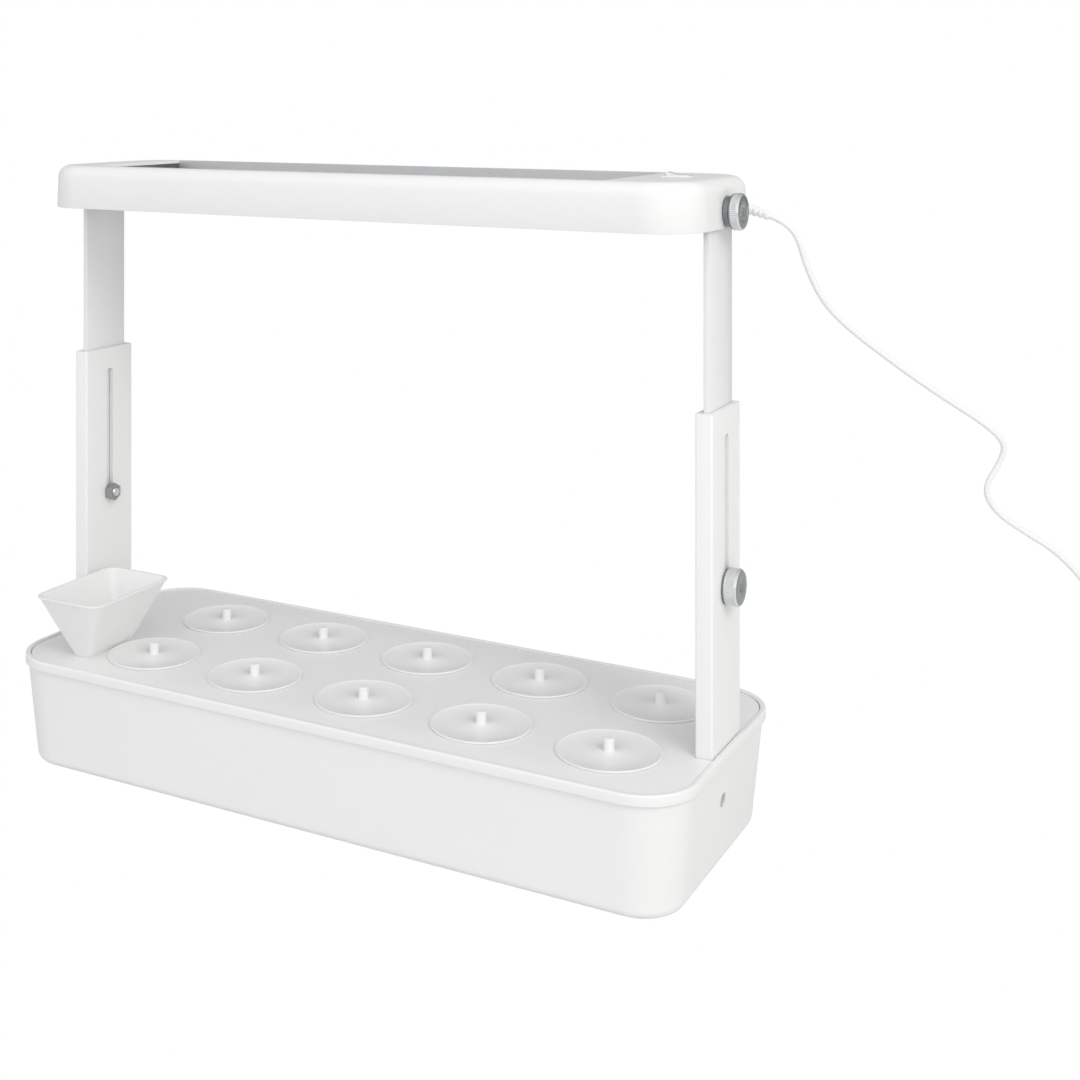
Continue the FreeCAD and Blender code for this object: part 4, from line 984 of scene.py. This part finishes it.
line = nurbs("cord line", cord_controls())
line_mesh = to_mesh(line, "cord line points")
line.data.bevel_depth = DIAMETER / 2
cord = to_mesh(line, "power_cord")
bpy.data.objects.remove(line)
bpy.data.objects.remove(line_mesh)
cord.data.materials.append(FINISHES["cord_jacket"])
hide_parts("cord", "cord_coil")
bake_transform(cord)

# %% [markdown]
# ## Strain relief and plug
#
# The relief is a soft tapered sleeve with deep narrow grooves, turned about the cord's own line, and
# a collar against the hood. The plug has a tapered neck, a ribbed grip and a hollow metal barrel.

# %% Strain relief and plug
GROOVES = (0.0075, 0.0116, 0.0157, 0.0196)
TIP_RADIUS, TIP_BORE = 0.0027, 0.00105


def relief_profile():
    """The radius tapers along the relief and dips by exp(-x^4) in four narrow grooves."""
    s = np.linspace(0.0026, RELIEF_LENGTH - 0.0006, 150)
    taper = 0.0043 + (0.0032 - 0.0043) * (s - 0.0026) / 0.021
    grooves = np.exp(-(((s[:, None] - np.array(GROOVES)) / 0.00075) ** 4)).sum(axis=1)
    radius = taper - 0.0012 * grooves
    rows = [(0.0001, 0.0002), (0.0001, 0.0050), (0.0006, 0.0054), (0.0018, 0.0054), (0.0024, 0.0047)]
    return rows + list(zip(s.tolist(), radius.tolist())) + [(RELIEF_LENGTH, 0.0024), (RELIEF_LENGTH, 0.0002)]


relief = make_piece(
    "cord_strain_relief", [(turned(relief_profile(), RELIEF, AIM), False)], "strain_relief", 50.0, rides=False
)
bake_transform(relief)


def plug_profile(length, radius):
    """A neck that widens to a ribbed grip with rounded ends."""
    s = np.linspace(0.0100, length - 0.0030, 60)
    ribs = radius - 0.0003 - 0.0003 * np.cos(2 * math.pi * (s - 0.0100) / 0.0022)
    rows = [(0.0, 0.0002), (0.0, 0.0026), (0.0004, 0.0030), (0.0080, 0.0036), (0.0092, 0.0042)]
    rows += list(zip(s.tolist(), ribs.tolist()))
    rows += [(length - 0.0026, radius), (length - 0.0007, radius), (length - 0.0002, radius - 0.0002)]
    return rows + [(length, radius - 0.0007), (length, 0.0002)]


low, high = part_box("dc_plug")
rings = turned(plug_profile(high[0] - low[0], (high[1] - low[1]) / 2), PLUG, (1, 0, 0), 64)
plug = make_piece("plug_grip", [(rings, False)], "dc_plug", 50.0)
low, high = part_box("plug_barrel")
length, edge = high[0] - low[0], 0.0003
profile = [(0.0, 0.0002), (0.0, TIP_RADIUS - edge), (edge, TIP_RADIUS), (length - edge, TIP_RADIUS)]
profile += [(length, TIP_RADIUS - edge), (length, 0.0014), (length - 0.0003, TIP_BORE)]
profile += [(0.0010, TIP_BORE), (0.0010, 0.0002)]
rings = turned(profile, (low[0], PLUG.y, PLUG.z), (1, 0, 0), 40)
barrel = make_piece("plug_contact", [(rings, False)], "plug_barrel")

# %% [markdown]
# ## Stage
#
# A pale floor under a soft, mostly frontal light. The floor and the sky are white to the camera.

# %% Floor
def stage_material():
    material, tree = new_material("pale floor")
    path = add(tree, "ShaderNodeLightPath")
    seen = add(tree, "ShaderNodeMath", operation="MAXIMUM")
    link(tree, path, "Is Camera Ray", seen, 0)
    link(tree, path, "Is Transmission Ray", seen, 1)
    matte = add(tree, "ShaderNodeBsdfDiffuse", {"Color": (0.80, 0.80, 0.80, 1.0)})
    glow = add(tree, "ShaderNodeEmission", {"Color": (1.0, 1.0, 1.0, 1.0), "Strength": 1.0})
    mixed = add(tree, "ShaderNodeMixShader")
    link(tree, seen, 0, mixed, 0)
    link(tree, matte, "BSDF", mixed, 1)
    link(tree, glow, "Emission", mixed, 2)
    out = add(tree, "ShaderNodeOutputMaterial")
    link(tree, mixed, "Shader", out, "Surface")
    return material


floor_mesh = bpy.data.meshes.new("floor")
floor_mesh.from_pydata([(-6, -6, 0), (6, -6, 0), (6, 6, 0), (-6, 6, 0)], [], [(0, 1, 2, 3)])
floor = new_object("floor", floor_mesh)
floor.location.z = -0.0002
floor.data.materials.append(stage_material())


# %% [markdown]
# ## Light
#
# The sky is brighter in front of the garden than behind it: its strength follows the dot product of
# the sky's direction with one level aim. One large soft lamp stands to the front right.

# %% Light
SKY_AIM = (0.40, -0.90, 0.0)
SKY_BACK, SKY_FRONT = 0.30, 1.34


def sky():
    """White to the camera; to the rest brighter in front than behind, and warmer on the right."""
    world = bpy.data.worlds.new("sky")
    world.use_nodes = True
    tree = world.node_tree
    tree.nodes.clear()
    place = add(tree, "ShaderNodeTexCoord")
    facing = add(tree, "ShaderNodeVectorMath", {1: SKY_AIM}, operation="DOT_PRODUCT")
    link(tree, place, "Generated", facing, 0)
    front = add(tree, "ShaderNodeMapRange", {"From Min": -1.0, "To Min": SKY_BACK, "To Max": SKY_FRONT})
    link(tree, facing, "Value", front, "Value")
    apart = add(tree, "ShaderNodeSeparateXYZ")
    link(tree, place, "Generated", apart, "Vector")
    side = add(tree, "ShaderNodeMapRange", {"From Min": -0.6, "From Max": 0.9})
    link(tree, apart, "X", side, "Value")
    tone = add(tree, "ShaderNodeMix", data_type="RGBA")
    tone.inputs[6].default_value = (0.975, 0.985, 1.0, 1.0)
    tone.inputs[7].default_value = (1.0, 0.99, 0.965, 1.0)
    link(tree, side, "Result", tone, 0)
    path = add(tree, "ShaderNodeLightPath")
    light = add(tree, "ShaderNodeBackground")
    tree.links.new(tone.outputs[2], light.inputs["Color"])
    link(tree, front, "Result", light, "Strength")
    white = add(tree, "ShaderNodeBackground", {"Color": (1.0, 1.0, 1.0, 1.0), "Strength": 1.0})
    mixed = add(tree, "ShaderNodeMixShader")
    link(tree, path, "Is Camera Ray", mixed, 0)
    link(tree, light, "Background", mixed, 1)
    link(tree, white, "Background", mixed, 2)
    out = add(tree, "ShaderNodeOutputWorld")
    link(tree, mixed, "Shader", out, "Surface")
    bpy.context.scene.world = world


def softbox(name, place, target, size, power):
    """A rectangular lamp that points at a target."""
    data = bpy.data.lights.new(name, "AREA")
    data.shape = "RECTANGLE"
    data.size, data.size_y = size
    data.energy = power
    lamp = new_object(name, data)
    lamp.location = place
    lamp.rotation_euler = (Vector(target) - Vector(place)).to_track_quat("-Z", "Y").to_euler()


sky()
softbox("key", (1.7, -0.9, 1.6), (0.1, 0.0, 0.2), (0.9, 0.9), 12.0)
bpy.context.scene.view_settings.view_transform = "Standard"
print("stage ready")
